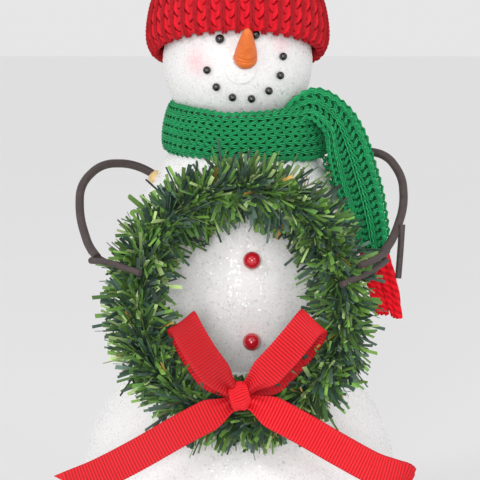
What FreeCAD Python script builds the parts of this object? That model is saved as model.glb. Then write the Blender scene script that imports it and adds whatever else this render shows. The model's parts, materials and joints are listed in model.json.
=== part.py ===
import FreeCAD, Part
import math
import os

import Sketcher
from FreeCAD import Placement, Rotation, Vector

# Snowman figure in a knitted hat and scarf, holding a small wreath with a ribbon bow.
# Millimetres, +Z up, the figure looks along -Y, and the origin is the middle of its flat underside.

SIZES = (
    # alias, value, what it measures
    ("base_radius", 53.4, "bottom ball"),
    ("base_centre_height", 43.9, "bottom ball's centre above its flat underside"),
    ("waist_height", 86.8, "flat where the middle stands on the bottom ball"),
    ("waist_radius", 31.0, "middle, at the waist"),
    ("torso_radius", 39.5, "middle, at its widest"),
    ("torso_widest_height", 112.0, "height of the widest turn"),
    ("torso_lower_curve", 41.6, "radius of the turned curve below the widest turn"),
    ("torso_upper_curve", 76.5, "radius of the turned curve above it"),
    ("neck_height", 165.0, "flat where the head stands on the middle"),
    ("neck_radius", 18.2, "middle, at the neck"),
    ("torso_shift", 1.0, "middle's axis, to the right of the bottom ball's"),
    ("head_radius", 25.2, "head"),
    ("head_centre_height", 187.3, "head's centre"),
    ("head_shift", -0.8, "head's axis, to the right of the bottom ball's"),
    ("waist_dowel_radius", 4.0, "dowel between bottom ball and middle"),
    ("waist_dowel_length", 24.0, ""),
    ("neck_dowel_radius", 3.0, "dowel between middle and head"),
    ("neck_dowel_length", 18.0, ""),
    ("eye_radius", 1.55, "eye bead"),
    ("mouth_bead_radius", 1.32, "each bead of the mouth"),
    ("button_radius", 2.9, "button bead"),
    ("upper_button_height", 124.3, ""),
    ("lower_button_height", 98.9, ""),
    ("bead_sink", 0.45, "how far a bead sits in the body"),
    ("pin_radius", 0.35, "shank of a bead-headed pin"),
    ("face_pin_length", 7.0, "from a face bead's centre"),
    ("button_pin_length", 9.0, "from a button's centre"),
    ("nose_length", 13.4, "carrot, along its axis"),
    ("nose_radius", 4.25, "carrot, at its thick end"),
    ("nose_middle_radius", 2.6, "carrot, two thirds of the way along"),
    ("nose_middle_place", 8.2, "where that is"),
    ("nose_tip_radius", 1.1, "carrot, beside its blunt tip"),
    ("nose_tip_place", 12.6, "where that is"),
    ("nose_heel", -1.9, "end of the rounded heel"),
    ("nose_heel_radius", 2.6, "flat of the rounded heel"),
    ("nose_glue_radius", 5.0, "squeezed-out glue round the nose"),
    ("nose_glue_height", 0.55, "its height above the head"),
    ("arm_radius", 1.4, "arm wire"),
    ("finger_radius", 1.05, "finger wire"),
    ("shoulder_glue_radius", 2.7, "glue at a shoulder"),
    ("hat_tilt", 15.5, "degrees that the hat leans back"),
    ("crown_outer_radius", 27.3, "hat's crown, along its straight part"),
    ("crown_inner_radius", 25.55, ""),
    ("crown_bottom", 6.6, "crown's edge, from the head's centre along the hat's axis"),
    ("crown_shoulder", 20.0, "where the crown starts to close"),
    ("crown_outer_top", 42.0, "crown's top outside"),
    ("crown_inner_top", 40.2, "crown's top inside"),
    ("crown_gather_radius", 2.6, "flat gathered spot on the top of the crown"),
    ("crown_outer_curve", 27.6, "radius of the closing curve outside"),
    ("crown_inner_curve", 26.2, "radius of the closing curve inside"),
    ("cuff_inner_radius", 27.45, "folded cuff"),
    ("cuff_outer_radius", 30.4, ""),
    ("cuff_bottom", 3.7, "along the hat's axis"),
    ("cuff_top", 21.5, ""),
    ("cuff_rounding", 1.2, "rounding of the fold"),
    ("hat_room", 0.45, "clear space left round and under the hat's cuff"),
    ("hat_room_height", 30.0, ""),
    ("scarf_ring_radius", 26.0, "scarf round the neck, outside, at its middle"),
    ("scarf_top_radius", 24.4, "outside, along the top edge"),
    ("scarf_bottom_radius", 26.4, "outside, along the bottom edge"),
    ("scarf_inner_radius", 15.0, "before the head and the middle are taken out of it"),
    ("scarf_half_width", 7.4, "half of the scarf's width"),
    ("scarf_middle", 0.0, "middle line of the scarf"),
    ("scarf_lower", -7.4, "bottom edge, below the middle line"),
    ("scarf_height", 166.4, "middle line's height at the side of the neck"),
    ("scarf_tilt", 7.4, "degrees that the ring dips in front"),
    ("knot_half_length", 13.6, "scarf's knot, across"),
    ("knot_half_depth", 7.0, "front to back"),
    ("knot_half_height", 12.0, "up and down"),
    ("tail_thickness", 3.0, "front scarf tail"),
    ("tail_front", -13.6, "its front face"),
    ("tail_top", 158.0, ""),
    ("tail_top_left", 28.5, ""),
    ("tail_top_right", 43.3, ""),
    ("tail_bottom", 124.2, ""),
    ("tail_bottom_left", 39.6, ""),
    ("tail_bottom_right", 49.4, ""),
    ("back_tail_thickness", 2.2, "rear scarf tail"),
    ("back_tail_front", -10.0, "its front face"),
    ("back_tail_top", 156.0, ""),
    ("back_tail_top_left", 31.5, ""),
    ("back_tail_top_right", 42.0, ""),
    ("back_tail_bottom", 130.0, ""),
    ("back_tail_bottom_left", 38.6, ""),
    ("back_tail_bottom_right", 47.6, ""),
    ("fringe_drop", 20.0, "length of the yarn fringe"),
    ("back_fringe_shift", 2.2, "how far the back fringe lies to the left of the front one"),
    ("fringe_bottom_left", 44.8, ""),
    ("fringe_bottom_right", 54.4, ""),
    ("wreath_half_height", 36.2, "wreath's wire, upright half-axis"),
    ("wreath_half_width", 32.6, "wreath's wire, level half-axis"),
    ("wreath_tilt", 10.0, "degrees that its top leans back"),
    ("wreath_centre_height", 112.0, ""),
    ("wreath_front", 49.0, "wire's centre in front of the figure's axis"),
    ("wreath_wire_radius", 0.9, "twisted wire"),
    ("wreath_brush_radius", 8.0, "packed part of the needles"),
    ("ribbon_width", 10.0, "bow's ribbon"),
    ("ribbon_thickness", 0.7, ""),
    ("loop_length", 30.5, "bow's loop, from the knot's centre"),
    ("loop_end_radius", 3.3, "round end of a loop"),
    ("loop_inner_radius", 2.6, ""),
    ("loop_start", 6.3, "start of a loop or tail, from the bow's middle"),
    ("loop_start_half", 0.75, "half its thickness there"),
    ("loop_gap_start", 9.0, "where its two layers part"),
    ("loop_gap_half", 0.15, "half the gap there"),
    ("bow_knot_half_width", 6.8, "gathered middle of the bow"),
    ("bow_knot_half_depth", 3.2, ""),
    ("bow_knot_half_height", 6.6, ""),
    ("left_ribbon_length", 58.0, "left ribbon tail, from the knot's centre"),
    ("right_ribbon_length", 60.0, "right ribbon tail"),
)
NUMBERS = {alias: value for alias, value, meaning in SIZES}

# Directions on the head are kept as angles from the middle of the face.
FACE_TURN = 5.8            # degrees that the face looks to the right
FACE_RISE = 2.5            # degrees that the nose's root lies above the head's centre
FACE_ROLL = 10.0           # degrees that the face is rolled, right side up
LEFT_EYE = (24.0, -140.0)  # an eye, away from the nose's root and round it from straight down
RIGHT_EYE = (19.7, 148.0)
MOUTH_AWAY = 29.3          # the mouth is an arc this far round the nose's root
MOUTH_STEP = 28.5          # from one bead of the mouth to the next
MOUTH_BEADS = 7

doc = FreeCAD.newDocument("snowman")
sheet = doc.addObject("Spreadsheet::Sheet", "sizes")
for row, (alias, value, meaning) in enumerate(SIZES, start=1):
    sheet.set("A%d" % row, str(value))
    sheet.setAlias("A%d" % row, alias)
    sheet.set("B%d" % row, meaning)
doc.recompute()

SUBPARTS = []


# ---------------------------------------------------------------- helpers

def bind(thing, **sizes):
    """Tie each named property of a thing to a cell, or to a sum of cells."""
    for quality, formula in sizes.items():
        thing.setExpression(quality, formula)
    return thing


def keep(thing, label):
    """Make a thing one of the figure's sub-parts, under its own name."""
    thing.Label = label
    SUBPARTS.append(thing)
    return thing


def plain(kind, name, place=None, **sizes):
    """A primitive with its sizes tied to the sheet."""
    thing = doc.addObject("Part::" + kind, name)
    bind(thing, **sizes)
    if place:
        thing.Placement = place
    doc.recompute([thing])
    return thing


def joined(name, things):
    """Several solids as one cutting tool."""
    if len(things) == 1:
        return things[0]
    group = doc.addObject("Part::MultiFuse", name)
    group.Shapes = things
    doc.recompute([group])
    return group


def carved(name, blank, tools):
    """A blank with other pieces taken out of it."""
    cut = doc.addObject("Part::Cut", name)
    cut.Base = blank
    cut.Tool = joined(name + "_tool", tools)
    doc.recompute([cut])
    return cut


def aim(direction, start):
    """Placement that stands +Z along a direction, at a start point."""
    return Placement(start, Rotation(Vector(0, 0, 1), direction))


def frame_of(along, face, start):
    """Placement with +X along one direction and +Z as near as it can be to another."""
    along = Vector(along).normalize()
    across = face.cross(along).normalize()
    return Placement(start, Rotation(along, across, along.cross(across), "XYZ"))


def origin_plane(body, role):
    return next(item for item in body.Origin.OriginFeatures if item.Role == role)


def pin_down(sketch, spot, cells):
    """Hold one end of an edge at two cells, where 0 means on the sketch's own axis."""
    edge, end = spot
    across, up = cells
    if across:
        number = sketch.addConstraint(
            Sketcher.Constraint("DistanceX", -1, 1, edge, end, NUMBERS[across]))
        sketch.setExpression("Constraints[%d]" % number, "sizes." + across)
    else:
        sketch.addConstraint(Sketcher.Constraint("PointOnObject", edge, end, -2))
    if up:
        number = sketch.addConstraint(
            Sketcher.Constraint("DistanceY", -1, 1, edge, end, NUMBERS[up]))
        sketch.setExpression("Constraints[%d]" % number, "sizes." + up)
    else:
        sketch.addConstraint(Sketcher.Constraint("PointOnObject", edge, end, -1))


def arc_between(start, end, radius):
    """Arc of less than half a turn that runs anticlockwise from start to end."""
    chord = end - start
    rise = math.sqrt(radius ** 2 - (chord.Length / 2) ** 2)
    centre = (start + end) / 2 + Vector(-chord.y, chord.x, 0).normalize() * rise
    first = math.atan2(start.y - centre.y, start.x - centre.x)
    last = math.atan2(end.y - centre.y, end.x - centre.x)
    return Part.ArcOfCircle(Part.Circle(centre, Vector(0, 0, 1), radius), first, last)


def outline(body, name, corners, curves, hollows):
    """Closed sketch on the body's XZ plane, anticlockwise through corners that are pairs of cells.

    curves and hollows map a corner's number to the radius of the outward or inward arc that leaves it.
    """
    sketch = body.newObject("Sketcher::SketchObject", name)
    sketch.AttachmentSupport = [(origin_plane(body, "XZ_Plane"), "")]
    sketch.MapMode = "FlatFace"
    points = [Vector(NUMBERS.get(across, 0), NUMBERS.get(up, 0), 0) for across, up in corners]
    count = len(points)
    for edge in range(count):
        start = points[edge]
        end = points[(edge + 1) % count]
        if edge in curves:
            sketch.addGeometry(arc_between(start, end, NUMBERS[curves[edge]]), False)
        elif edge in hollows:
            sketch.addGeometry(arc_between(end, start, NUMBERS[hollows[edge]]), False)
        else:
            sketch.addGeometry(Part.LineSegment(start, end), False)
    for edge in range(count):
        following = (edge + 1) % count
        near, far = (2, 1) if edge in hollows else (1, 2)
        following_near = 2 if following in hollows else 1
        sketch.addConstraint(
            Sketcher.Constraint("Coincident", edge, far, following, following_near))
        pin_down(sketch, (edge, near), corners[edge])
    for edge, radius in list(curves.items()) + list(hollows.items()):
        number = sketch.addConstraint(Sketcher.Constraint("Radius", edge, NUMBERS[radius]))
        sketch.setExpression("Constraints[%d]" % number, "sizes." + radius)
    doc.recompute()
    return sketch


def turned(name, corners, curves=None, hollows=None, place=None):
    """Body turned about its own Z axis from an outline of (radius, height) cells."""
    body = doc.addObject("PartDesign::Body", name)
    sketch = outline(body, name + "_outline", corners, curves or {}, hollows or {})
    turn = body.newObject("PartDesign::Revolution", name + "_turning")
    turn.Profile = sketch
    turn.ReferenceAxis = (sketch, ["V_Axis"])
    turn.Angle = 360
    body.Tip = turn
    if place:
        body.Placement = place
    doc.recompute()
    return body


def rounded_wire(points):
    """Straight runs joined by arcs that are as large as their two runs allow."""
    edges = []
    last = points[0]
    for before, corner, after in zip(points, points[1:], points[2:]):
        inward = (before - corner).normalize()
        onward = (after - corner).normalize()
        trim = 0.45 * min((before - corner).Length, (after - corner).Length)
        start = corner + inward * trim
        end = corner + onward * trim
        half_turn = (math.pi - inward.getAngle(onward)) / 2
        radius = trim / math.tan(half_turn)
        reach = radius / math.cos(half_turn) - radius
        middle = corner + (inward + onward).normalize() * reach
        edges.append(Part.LineSegment(last, start).toShape())
        edges.append(Part.Arc(start, middle, end).toShape())
        last = end
    edges.append(Part.LineSegment(last, points[-1]).toShape())
    return Part.Wire(edges)


def bent_wire(name, thickness, points):
    """Round wire bent along points, swept from a circle whose radius is a cell."""
    route = doc.addObject("Part::Feature", name + "_route")
    route.Shape = rounded_wire(points)
    ring = plain("Circle", name + "_section", aim(points[1] - points[0], points[0]),
                 Radius="sizes." + thickness)
    sweep = doc.addObject("Part::Sweep", name)
    sweep.Sections = [ring]
    sweep.Spine = (route, ["Edge%d" % (n + 1) for n in range(len(route.Shape.Edges))])
    sweep.Solid = True
    sweep.Frenet = False
    doc.recompute([sweep])
    expected = math.pi * NUMBERS[thickness] ** 2 * route.Shape.Length
    if abs(sweep.Shape.Volume / expected - 1) > 0.02:
        raise RuntimeError(name + " has the wrong volume")
    return sweep


def strip(name, front, thickness, top, bottom):
    """Flat tapering piece that hangs between two level edges, each (height, left, right)."""
    back = NUMBERS[front] + NUMBERS[thickness]
    return plain("Wedge", name, Placement(Vector(0, back, 0), Rotation(Vector(1, 0, 0), 90)),
                 Ymin=bottom[0], Xmin=bottom[1], Xmax=bottom[2],
                 Ymax=top[0], X2min=top[1], X2max=top[2],
                 Zmin="0", Z2min="0", Zmax="sizes." + thickness, Z2max="sizes." + thickness)


# ---------------------------------------------------------------- body balls

base_centre = Vector(0, 0, NUMBERS["base_centre_height"])
head_centre = Vector(NUMBERS["head_shift"], 0, NUMBERS["head_centre_height"])
torso_place = Placement(Vector(NUMBERS["torso_shift"], 0, 0), Rotation())

base_blank = plain(
    "Sphere", "base_blank", Placement(base_centre, Rotation()),
    Radius="sizes.base_radius",
    Angle1="-asin(sizes.base_centre_height / sizes.base_radius)",
    Angle2="asin((sizes.waist_height - sizes.base_centre_height) / sizes.base_radius)")

torso_blank = turned(
    "torso_blank",
    [(0, "waist_height"), ("waist_radius", "waist_height"),
     ("torso_radius", "torso_widest_height"), ("neck_radius", "neck_height"),
     (0, "neck_height")],
    {1: "torso_lower_curve", 2: "torso_upper_curve"},
    place=torso_place)

head_blank = plain(
    "Sphere", "head_blank", Placement(head_centre, Rotation()),
    Radius="sizes.head_radius",
    Angle1="-asin((sizes.head_centre_height - sizes.neck_height) / sizes.head_radius)")


def dowel(label, height, across):
    """Dowel standing half in the piece below a joint and half in the piece above."""
    low = NUMBERS[height] - NUMBERS[label + "_length"] / 2
    peg = plain("Cylinder", label, Placement(Vector(across, 0, low), Rotation()),
                Radius="sizes.%s_radius" % label, Height="sizes.%s_length" % label)
    return keep(peg, label)


waist_dowel = dowel("waist_dowel", "waist_height", NUMBERS["torso_shift"] / 2)
neck_dowel = dowel("neck_dowel", "neck_height", 0.0)


# ---------------------------------------------------------------- face

def head_direction(away, around):
    """Direction from the head's centre, away from the nose's root and round it from straight down."""
    turn = math.radians(FACE_TURN)
    rise = math.radians(FACE_RISE)
    spin = math.radians(around + FACE_ROLL)
    ahead = Vector(math.sin(turn) * math.cos(rise), -math.cos(turn) * math.cos(rise), math.sin(rise))
    right = Vector(math.cos(turn), math.sin(turn), 0)
    above = ahead.cross(right)
    side = right * math.sin(spin) - above * math.cos(spin)
    return ahead * math.cos(math.radians(away)) + side * math.sin(math.radians(away))


def bead_on_pin(name, direction, surface, radius, shank):
    """Ball and the shank behind it, pushed into a surface point along a direction."""
    middle = surface + direction * (NUMBERS[radius] - NUMBERS["bead_sink"])
    ball = plain("Sphere", name + "_ball", Placement(middle, Rotation()), Radius="sizes." + radius)
    pin = plain("Cylinder", name + "_pin", aim(direction * -1, middle),
                Radius="sizes.pin_radius", Height="sizes." + shank)
    return carved(name, ball, [pin]), pin


def face_bead(name, away, around, radius):
    direction = head_direction(away, around)
    surface = head_centre + direction * NUMBERS["head_radius"]
    return bead_on_pin(name, direction, surface, radius, "face_pin_length")


left_eye, left_eye_pin = face_bead("left_eye", *LEFT_EYE, "eye_radius")
right_eye, right_eye_pin = face_bead("right_eye", *RIGHT_EYE, "eye_radius")
keep(left_eye, "left_eye")
keep(right_eye, "right_eye")

mouth = []
mouth_pins = []
for number in range(MOUTH_BEADS):
    steps_from_middle = number - (MOUTH_BEADS - 1) / 2
    bead, pin = face_bead("mouth_bead_%d" % (number + 1), MOUTH_AWAY,
                          steps_from_middle * MOUTH_STEP, "mouth_bead_radius")
    mouth.append(bead)
    mouth_pins.append(pin)
mouth_beads = doc.addObject("Part::Compound", "mouth_beads")
mouth_beads.Links = mouth
keep(mouth_beads, "mouth_beads")

nose_root_direction = head_direction(0, 0)
nose_root = head_centre + nose_root_direction * NUMBERS["head_radius"]
NOSE_DIRECTION = Vector(0.05, -0.67, 0.74)
GLUE_PLUG_START = head_centre + Vector(-0.5, -10, -2.2)     # inside the head, below the nose
carrot_blank = turned(
    "carrot_blank",
    [(0, "nose_heel"), ("nose_heel_radius", "nose_heel"), ("nose_radius", 0),
     ("nose_middle_radius", "nose_middle_place"), ("nose_tip_radius", "nose_tip_place"),
     (0, "nose_length")],
    place=aim(NOSE_DIRECTION, nose_root))
carrot_nose = keep(carved("carrot_nose", carrot_blank, [head_blank]), "carrot_nose")

glue_skin = plain("Sphere", "glue_skin", Placement(head_centre, Rotation()),
                  Radius="sizes.head_radius + sizes.nose_glue_height")
glue_plug = plain("Cylinder", "glue_plug",
                  aim(nose_root_direction, GLUE_PLUG_START),
                  Radius="sizes.nose_glue_radius", Height="sizes.head_radius")
glue_patch = doc.addObject("Part::Common", "glue_patch")
glue_patch.Base = glue_skin
glue_patch.Tool = glue_plug
keep(carved("nose_glue", glue_patch, [head_blank, carrot_blank]), "nose_glue")


# ---------------------------------------------------------------- buttons

BUTTON_TURN = 4.0          # degrees that the buttons stand to the right of the front


def button(label):
    """Red bead-headed pin in the front of the middle ball, square to its turned curve."""
    turn = math.radians(BUTTON_TURN)
    height = NUMBERS[label + "_height"]
    rise = height - NUMBERS["torso_widest_height"]
    curve = NUMBERS["torso_upper_curve" if rise > 0 else "torso_lower_curve"]
    radius = math.sqrt(curve ** 2 - rise ** 2) - (curve - NUMBERS["torso_radius"])
    slope = math.asin(rise / curve)
    level = Vector(math.sin(turn), -math.cos(turn), 0)
    surface = Vector(NUMBERS["torso_shift"], 0, height) + level * radius
    direction = level * math.cos(slope) + Vector(0, 0, math.sin(slope))
    bead, pin = bead_on_pin(label, direction, surface, "button_radius", "button_pin_length")
    keep(bead, label)
    return bead, pin


upper_button, upper_pin = button("upper_button")
lower_button, lower_pin = button("lower_button")

bead_pins = doc.addObject("Part::Compound", "bead_pins")
bead_pins.Links = [left_eye_pin, right_eye_pin] + mouth_pins + [upper_pin, lower_pin]
keep(bead_pins, "bead_pins")


# ---------------------------------------------------------------- arms and hands

LEFT_ARM = [Vector(-22, -3, 145.2), Vector(-35, -5.2, 153.4), Vector(-46, -13, 154.0),
            Vector(-52.6, -21, 147.6), Vector(-52.2, -30, 137.8), Vector(-48.6, -40, 129.4),
            Vector(-45.4, -46.6, 126.4)]
RIGHT_ARM = [Vector(24, -3, 147.4), Vector(37, -4.2, 157.6), Vector(48.6, -7.6, 157.2),
             Vector(53.9, -14.5, 149.8), Vector(53.8, -24.5, 140.8), Vector(49.8, -36, 132.0),
             Vector(44.8, -45.2, 126.4)]

left_arm = keep(bent_wire("left_arm", "arm_radius", LEFT_ARM), "left_arm")
right_arm = keep(bent_wire("right_arm", "arm_radius", RIGHT_ARM), "right_arm")


def finger(label, arm, points):
    """Thinner wire glued along the end of an arm."""
    wire = bent_wire(label + "_wire", "finger_radius", points)
    return keep(carved(label, wire, [arm]), label)


finger("left_front_finger", left_arm,
       [Vector(-47.4, -45.4, 125.2), Vector(-41.5, -54.2, 125.8), Vector(-31.0, -60.6, 123.0)])
finger("left_back_finger", left_arm,
       [Vector(-47.9, -42.0, 128.0), Vector(-44.8, -42.8, 125.2), Vector(-40.5, -43.6, 123.6)])
finger("right_front_finger", right_arm,
       [Vector(46.6, -44.0, 125.0), Vector(40.6, -55.0, 122.6), Vector(31.4, -61.2, 119.4)])
finger("right_top_finger", right_arm,
       [Vector(46.8, -46.4, 128.4), Vector(42.6, -53.0, 126.4), Vector(37.4, -57.0, 124.8)])
finger("right_thumb", right_arm,
       [Vector(46.2, -42.6, 126.8), Vector(43.8, -41.8, 122.6), Vector(40.9, -40.6, 118.6)])
finger("right_arm_twig", right_arm,
       [Vector(52.4, -33.9, 135.6), Vector(51.9, -34.3, 127.0), Vector(51.2, -34.6, 118.2)])


# ---------------------------------------------------------------- middle, bottom and head, finished

base_ball = keep(carved("base_ball", base_blank, [waist_dowel]), "base_ball")
torso_ball = keep(
    carved("torso_ball", torso_blank,
           [waist_dowel, neck_dowel, upper_button, upper_pin, lower_button, lower_pin,
            left_arm, right_arm]),
    "torso_ball")
head_ball = keep(
    carved("head_ball", head_blank,
           [neck_dowel, left_eye, left_eye_pin, right_eye, right_eye_pin] + mouth + mouth_pins),
    "head_ball")


LEFT_SHOULDER = Vector(-28.2, -4.6, 148.4)      # where an arm comes out of the body
RIGHT_SHOULDER = Vector(29.6, -4.2, 150.4)


def shoulder_glue(label, arm, place):
    """Bead of set glue where an arm goes into the body."""
    drop = plain("Sphere", label + "_drop", Placement(place, Rotation()),
                 Radius="sizes.shoulder_glue_radius")
    return keep(carved(label, drop, [torso_blank, arm]), label)


shoulder_glue("left_shoulder_glue", left_arm, LEFT_SHOULDER)
shoulder_glue("right_shoulder_glue", right_arm, RIGHT_SHOULDER)


# ---------------------------------------------------------------- hat

hat_place = Placement(head_centre, Rotation(Vector(1, 0, 0), -NUMBERS["hat_tilt"]))
hat_crown = keep(
    turned("hat_crown",
           [("crown_inner_radius", "crown_bottom"), ("crown_outer_radius", "crown_bottom"),
            ("crown_outer_radius", "crown_shoulder"), ("crown_gather_radius", "crown_outer_top"),
            (0, "crown_outer_top"), (0, "crown_inner_top"),
            ("crown_gather_radius", "crown_inner_top"), ("crown_inner_radius", "crown_shoulder")],
           {2: "crown_outer_curve"}, {6: "crown_inner_curve"}, hat_place),
    "hat_crown")
hat_cuff = turned(
    "hat_cuff",
    [("cuff_inner_radius", "cuff_bottom"), ("cuff_outer_radius", "cuff_bottom"),
     ("cuff_outer_radius", "cuff_top"), ("cuff_inner_radius", "cuff_top")],
    place=hat_place)
cuff_turning = hat_cuff.Tip
outer_edges = [
    "Edge%d" % (n + 1) for n, edge in enumerate(cuff_turning.Shape.Edges)
    if hasattr(edge.Curve, "Radius")
    and abs(edge.Curve.Radius - NUMBERS["cuff_outer_radius"]) < 0.01 and edge.isClosed()]
rounding = hat_cuff.newObject("PartDesign::Fillet", "cuff_rounding_fillet")
rounding.Base = (cuff_turning, outer_edges)
bind(rounding, Radius="sizes.cuff_rounding")
hat_cuff.Tip = rounding
doc.recompute()
keep(hat_cuff, "hat_cuff")


# ---------------------------------------------------------------- scarf

SCARF_CENTRE = Vector(1.2, -0.6, NUMBERS["scarf_height"])
KNOT_CENTRE = Vector(28.6, -15.4, 166.6)
KNOT_LEAN = 18.0           # degrees that the knot leans to the right

scarf_place = Placement(SCARF_CENTRE, Rotation(Vector(1, 0, 0), NUMBERS["scarf_tilt"]))
scarf_blank = turned(
    "scarf_blank",
    [("scarf_inner_radius", "scarf_lower"), ("scarf_bottom_radius", "scarf_lower"),
     ("scarf_ring_radius", "scarf_middle"), ("scarf_top_radius", "scarf_half_width"),
     ("scarf_inner_radius", "scarf_half_width")],
    place=scarf_place)
knot_place = Placement(KNOT_CENTRE, Rotation(Vector(0, 1, 0), KNOT_LEAN))
knot_blank = plain("Ellipsoid", "knot_blank", knot_place,
                   Radius2="sizes.knot_half_length", Radius3="sizes.knot_half_depth",
                   Radius1="sizes.knot_half_height")
room_start = Placement(Vector(0, 0, NUMBERS["cuff_bottom"] - NUMBERS["hat_room"]), Rotation())
hat_space = plain("Cylinder", "hat_space", hat_place.multiply(room_start),
                  Radius="sizes.cuff_outer_radius + sizes.hat_room",
                  Height="sizes.hat_room_height")
keep(carved("scarf_wrap", scarf_blank, [torso_blank, head_blank, knot_blank, hat_space]),
     "scarf_wrap")
keep(carved("scarf_knot", knot_blank, [torso_blank, head_blank]), "scarf_knot")

front_tail_blank = strip(
    "front_tail_blank", "tail_front", "tail_thickness",
    ("sizes.tail_top", "sizes.tail_top_left", "sizes.tail_top_right"),
    ("sizes.tail_bottom", "sizes.tail_bottom_left", "sizes.tail_bottom_right"))
back_tail_blank = strip(
    "back_tail_blank", "back_tail_front", "back_tail_thickness",
    ("sizes.back_tail_top", "sizes.back_tail_top_left", "sizes.back_tail_top_right"),
    ("sizes.back_tail_bottom", "sizes.back_tail_bottom_left", "sizes.back_tail_bottom_right"))
keep(carved("scarf_front_tail", front_tail_blank, [knot_blank, torso_blank]), "scarf_front_tail")
keep(carved("scarf_back_tail", back_tail_blank, [knot_blank, torso_blank]), "scarf_back_tail")

keep(strip("front_fringe", "tail_front", "tail_thickness",
           ("sizes.tail_bottom", "sizes.tail_bottom_left", "sizes.tail_bottom_right"),
           ("sizes.tail_bottom - sizes.fringe_drop", "sizes.fringe_bottom_left",
            "sizes.fringe_bottom_right")),
     "front_fringe")
keep(strip("back_fringe", "back_tail_front", "back_tail_thickness",
           ("sizes.back_tail_bottom", "sizes.back_tail_bottom_left",
            "sizes.back_tail_bottom_right"),
           ("sizes.back_tail_bottom - sizes.fringe_drop",
            "sizes.fringe_bottom_left - sizes.back_fringe_shift",
            "sizes.fringe_bottom_right - sizes.back_fringe_shift")),
     "back_fringe")


# ---------------------------------------------------------------- wreath

lean = math.radians(NUMBERS["wreath_tilt"])
wreath_up = Vector(0, math.sin(lean), math.cos(lean))
wreath_right = Vector(1, 0, 0)
wreath_centre = Vector(0.3, -NUMBERS["wreath_front"], NUMBERS["wreath_centre_height"])
wreath_place = Placement(
    wreath_centre, Rotation(wreath_up, wreath_right, wreath_up.cross(wreath_right), "XYZ"))
wreath_line = plain("Ellipse", "wreath_line", wreath_place,
                    MajorRadius="sizes.wreath_half_height", MinorRadius="sizes.wreath_half_width")


def wreath_ring(name, radius):
    """Round section carried all the way round the wreath's line."""
    top = wreath_centre + wreath_up * NUMBERS["wreath_half_height"]
    ring = plain("Circle", name + "_section", aim(wreath_right, top), Radius="sizes." + radius)
    sweep = doc.addObject("Part::Sweep", name)
    sweep.Sections = [ring]
    sweep.Spine = (wreath_line, ["Edge1"])
    sweep.Solid = True
    sweep.Frenet = True
    doc.recompute([sweep])
    return sweep


wreath_wire = keep(wreath_ring("wreath_wire", "wreath_wire_radius"), "wreath_wire")
brush_blank = wreath_ring("brush_blank", "wreath_brush_radius")
keep(carved("wreath_needles", brush_blank, [wreath_wire]), "wreath_needles")


# ---------------------------------------------------------------- bow

bow_centre = Vector(0.0, -66.6, 85.6)
LEFT_LOOP_TIP = Vector(-17.8, -61.5, 108.4)
RIGHT_LOOP_TIP = Vector(22.8, -61.5, 108.8)
LEFT_LOOP_FACE = Vector(0.3, -0.9, 0.3)         # the way a loop's outer ribbon faces
RIGHT_LOOP_FACE = Vector(-0.3, -0.9, 0.3)
LEFT_TAIL_TIP = Vector(-51.4, -62.6, 55.5)
RIGHT_TAIL_TIP = Vector(50.4, -62.6, 54.5)
TAIL_FACE = Vector(0, -0.93, 0.36)
bow_knot = plain("Ellipsoid", "bow_knot", Placement(bow_centre, Rotation()),
                 Radius2="sizes.bow_knot_half_width", Radius3="sizes.bow_knot_half_depth",
                 Radius1="sizes.bow_knot_half_height")
keep(bow_knot, "bow_knot")


def bow_loop(label, tip, face):
    """Ribbon doubled back on itself, from the bow's gathered middle to a round end.

    The space inside is cut by a shape twice the ribbon's width, so that it opens on both sides.
    """
    along = (tip - bow_centre).normalize()
    across = face.cross(along).normalize()
    place = Placement(bow_centre, Rotation(along.cross(across), along, across, "XYZ"))
    shells = []
    for layer, radius, start, start_half, widths in (
            ("outside", "loop_end_radius", "loop_start", "loop_start_half", 0.5),
            ("inside", "loop_inner_radius", "loop_gap_start", "loop_gap_half", 1.0)):
        half_width = "sizes.ribbon_width * %g" % widths
        end_half = "sizes." + radius
        wedge = plain("Wedge", label + "_wedge_" + layer, place,
                      Ymin="sizes." + start, Ymax="sizes.loop_length - sizes.loop_end_radius",
                      Xmin="-sizes." + start_half, Xmax="sizes." + start_half,
                      X2min="-" + end_half, X2max=end_half,
                      Zmin="-" + half_width, Z2min="-" + half_width,
                      Zmax=half_width, Z2max=half_width)
        end_centre = Vector(0, NUMBERS["loop_length"] - NUMBERS["loop_end_radius"],
                            -NUMBERS["ribbon_width"] * widths)
        turn = plain("Cylinder", label + "_end_" + layer,
                     place.multiply(Placement(end_centre, Rotation())),
                     Radius=end_half, Height="2 * " + half_width)
        shells.append(joined(label + "_" + layer, [wedge, turn]))
    hollow = carved(label + "_hollow", shells[0], [shells[1]])
    return keep(carved(label, hollow, [bow_knot]), label)


def ribbon_tail(label, length, tip, face):
    """Flat ribbon from the bow's gathered middle towards its cut end."""
    along = (tip - bow_centre).normalize()
    place = frame_of(along, face, bow_centre)
    edge = Vector(NUMBERS["loop_start"], -NUMBERS["ribbon_width"] / 2,
                  -NUMBERS["ribbon_thickness"] / 2)
    box = plain("Box", label + "_blank", place.multiply(Placement(edge, Rotation())),
                Length="sizes.%s - sizes.loop_start" % length, Width="sizes.ribbon_width",
                Height="sizes.ribbon_thickness")
    return keep(carved(label, box, [bow_knot]), label)


bow_loop("bow_left_loop", LEFT_LOOP_TIP, LEFT_LOOP_FACE)
bow_loop("bow_right_loop", RIGHT_LOOP_TIP, RIGHT_LOOP_FACE)
ribbon_tail("bow_left_tail", "left_ribbon_length", LEFT_TAIL_TIP, TAIL_FACE)
ribbon_tail("bow_right_tail", "right_ribbon_length", RIGHT_TAIL_TIP, TAIL_FACE)


# ---------------------------------------------------------------- checks and files

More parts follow.
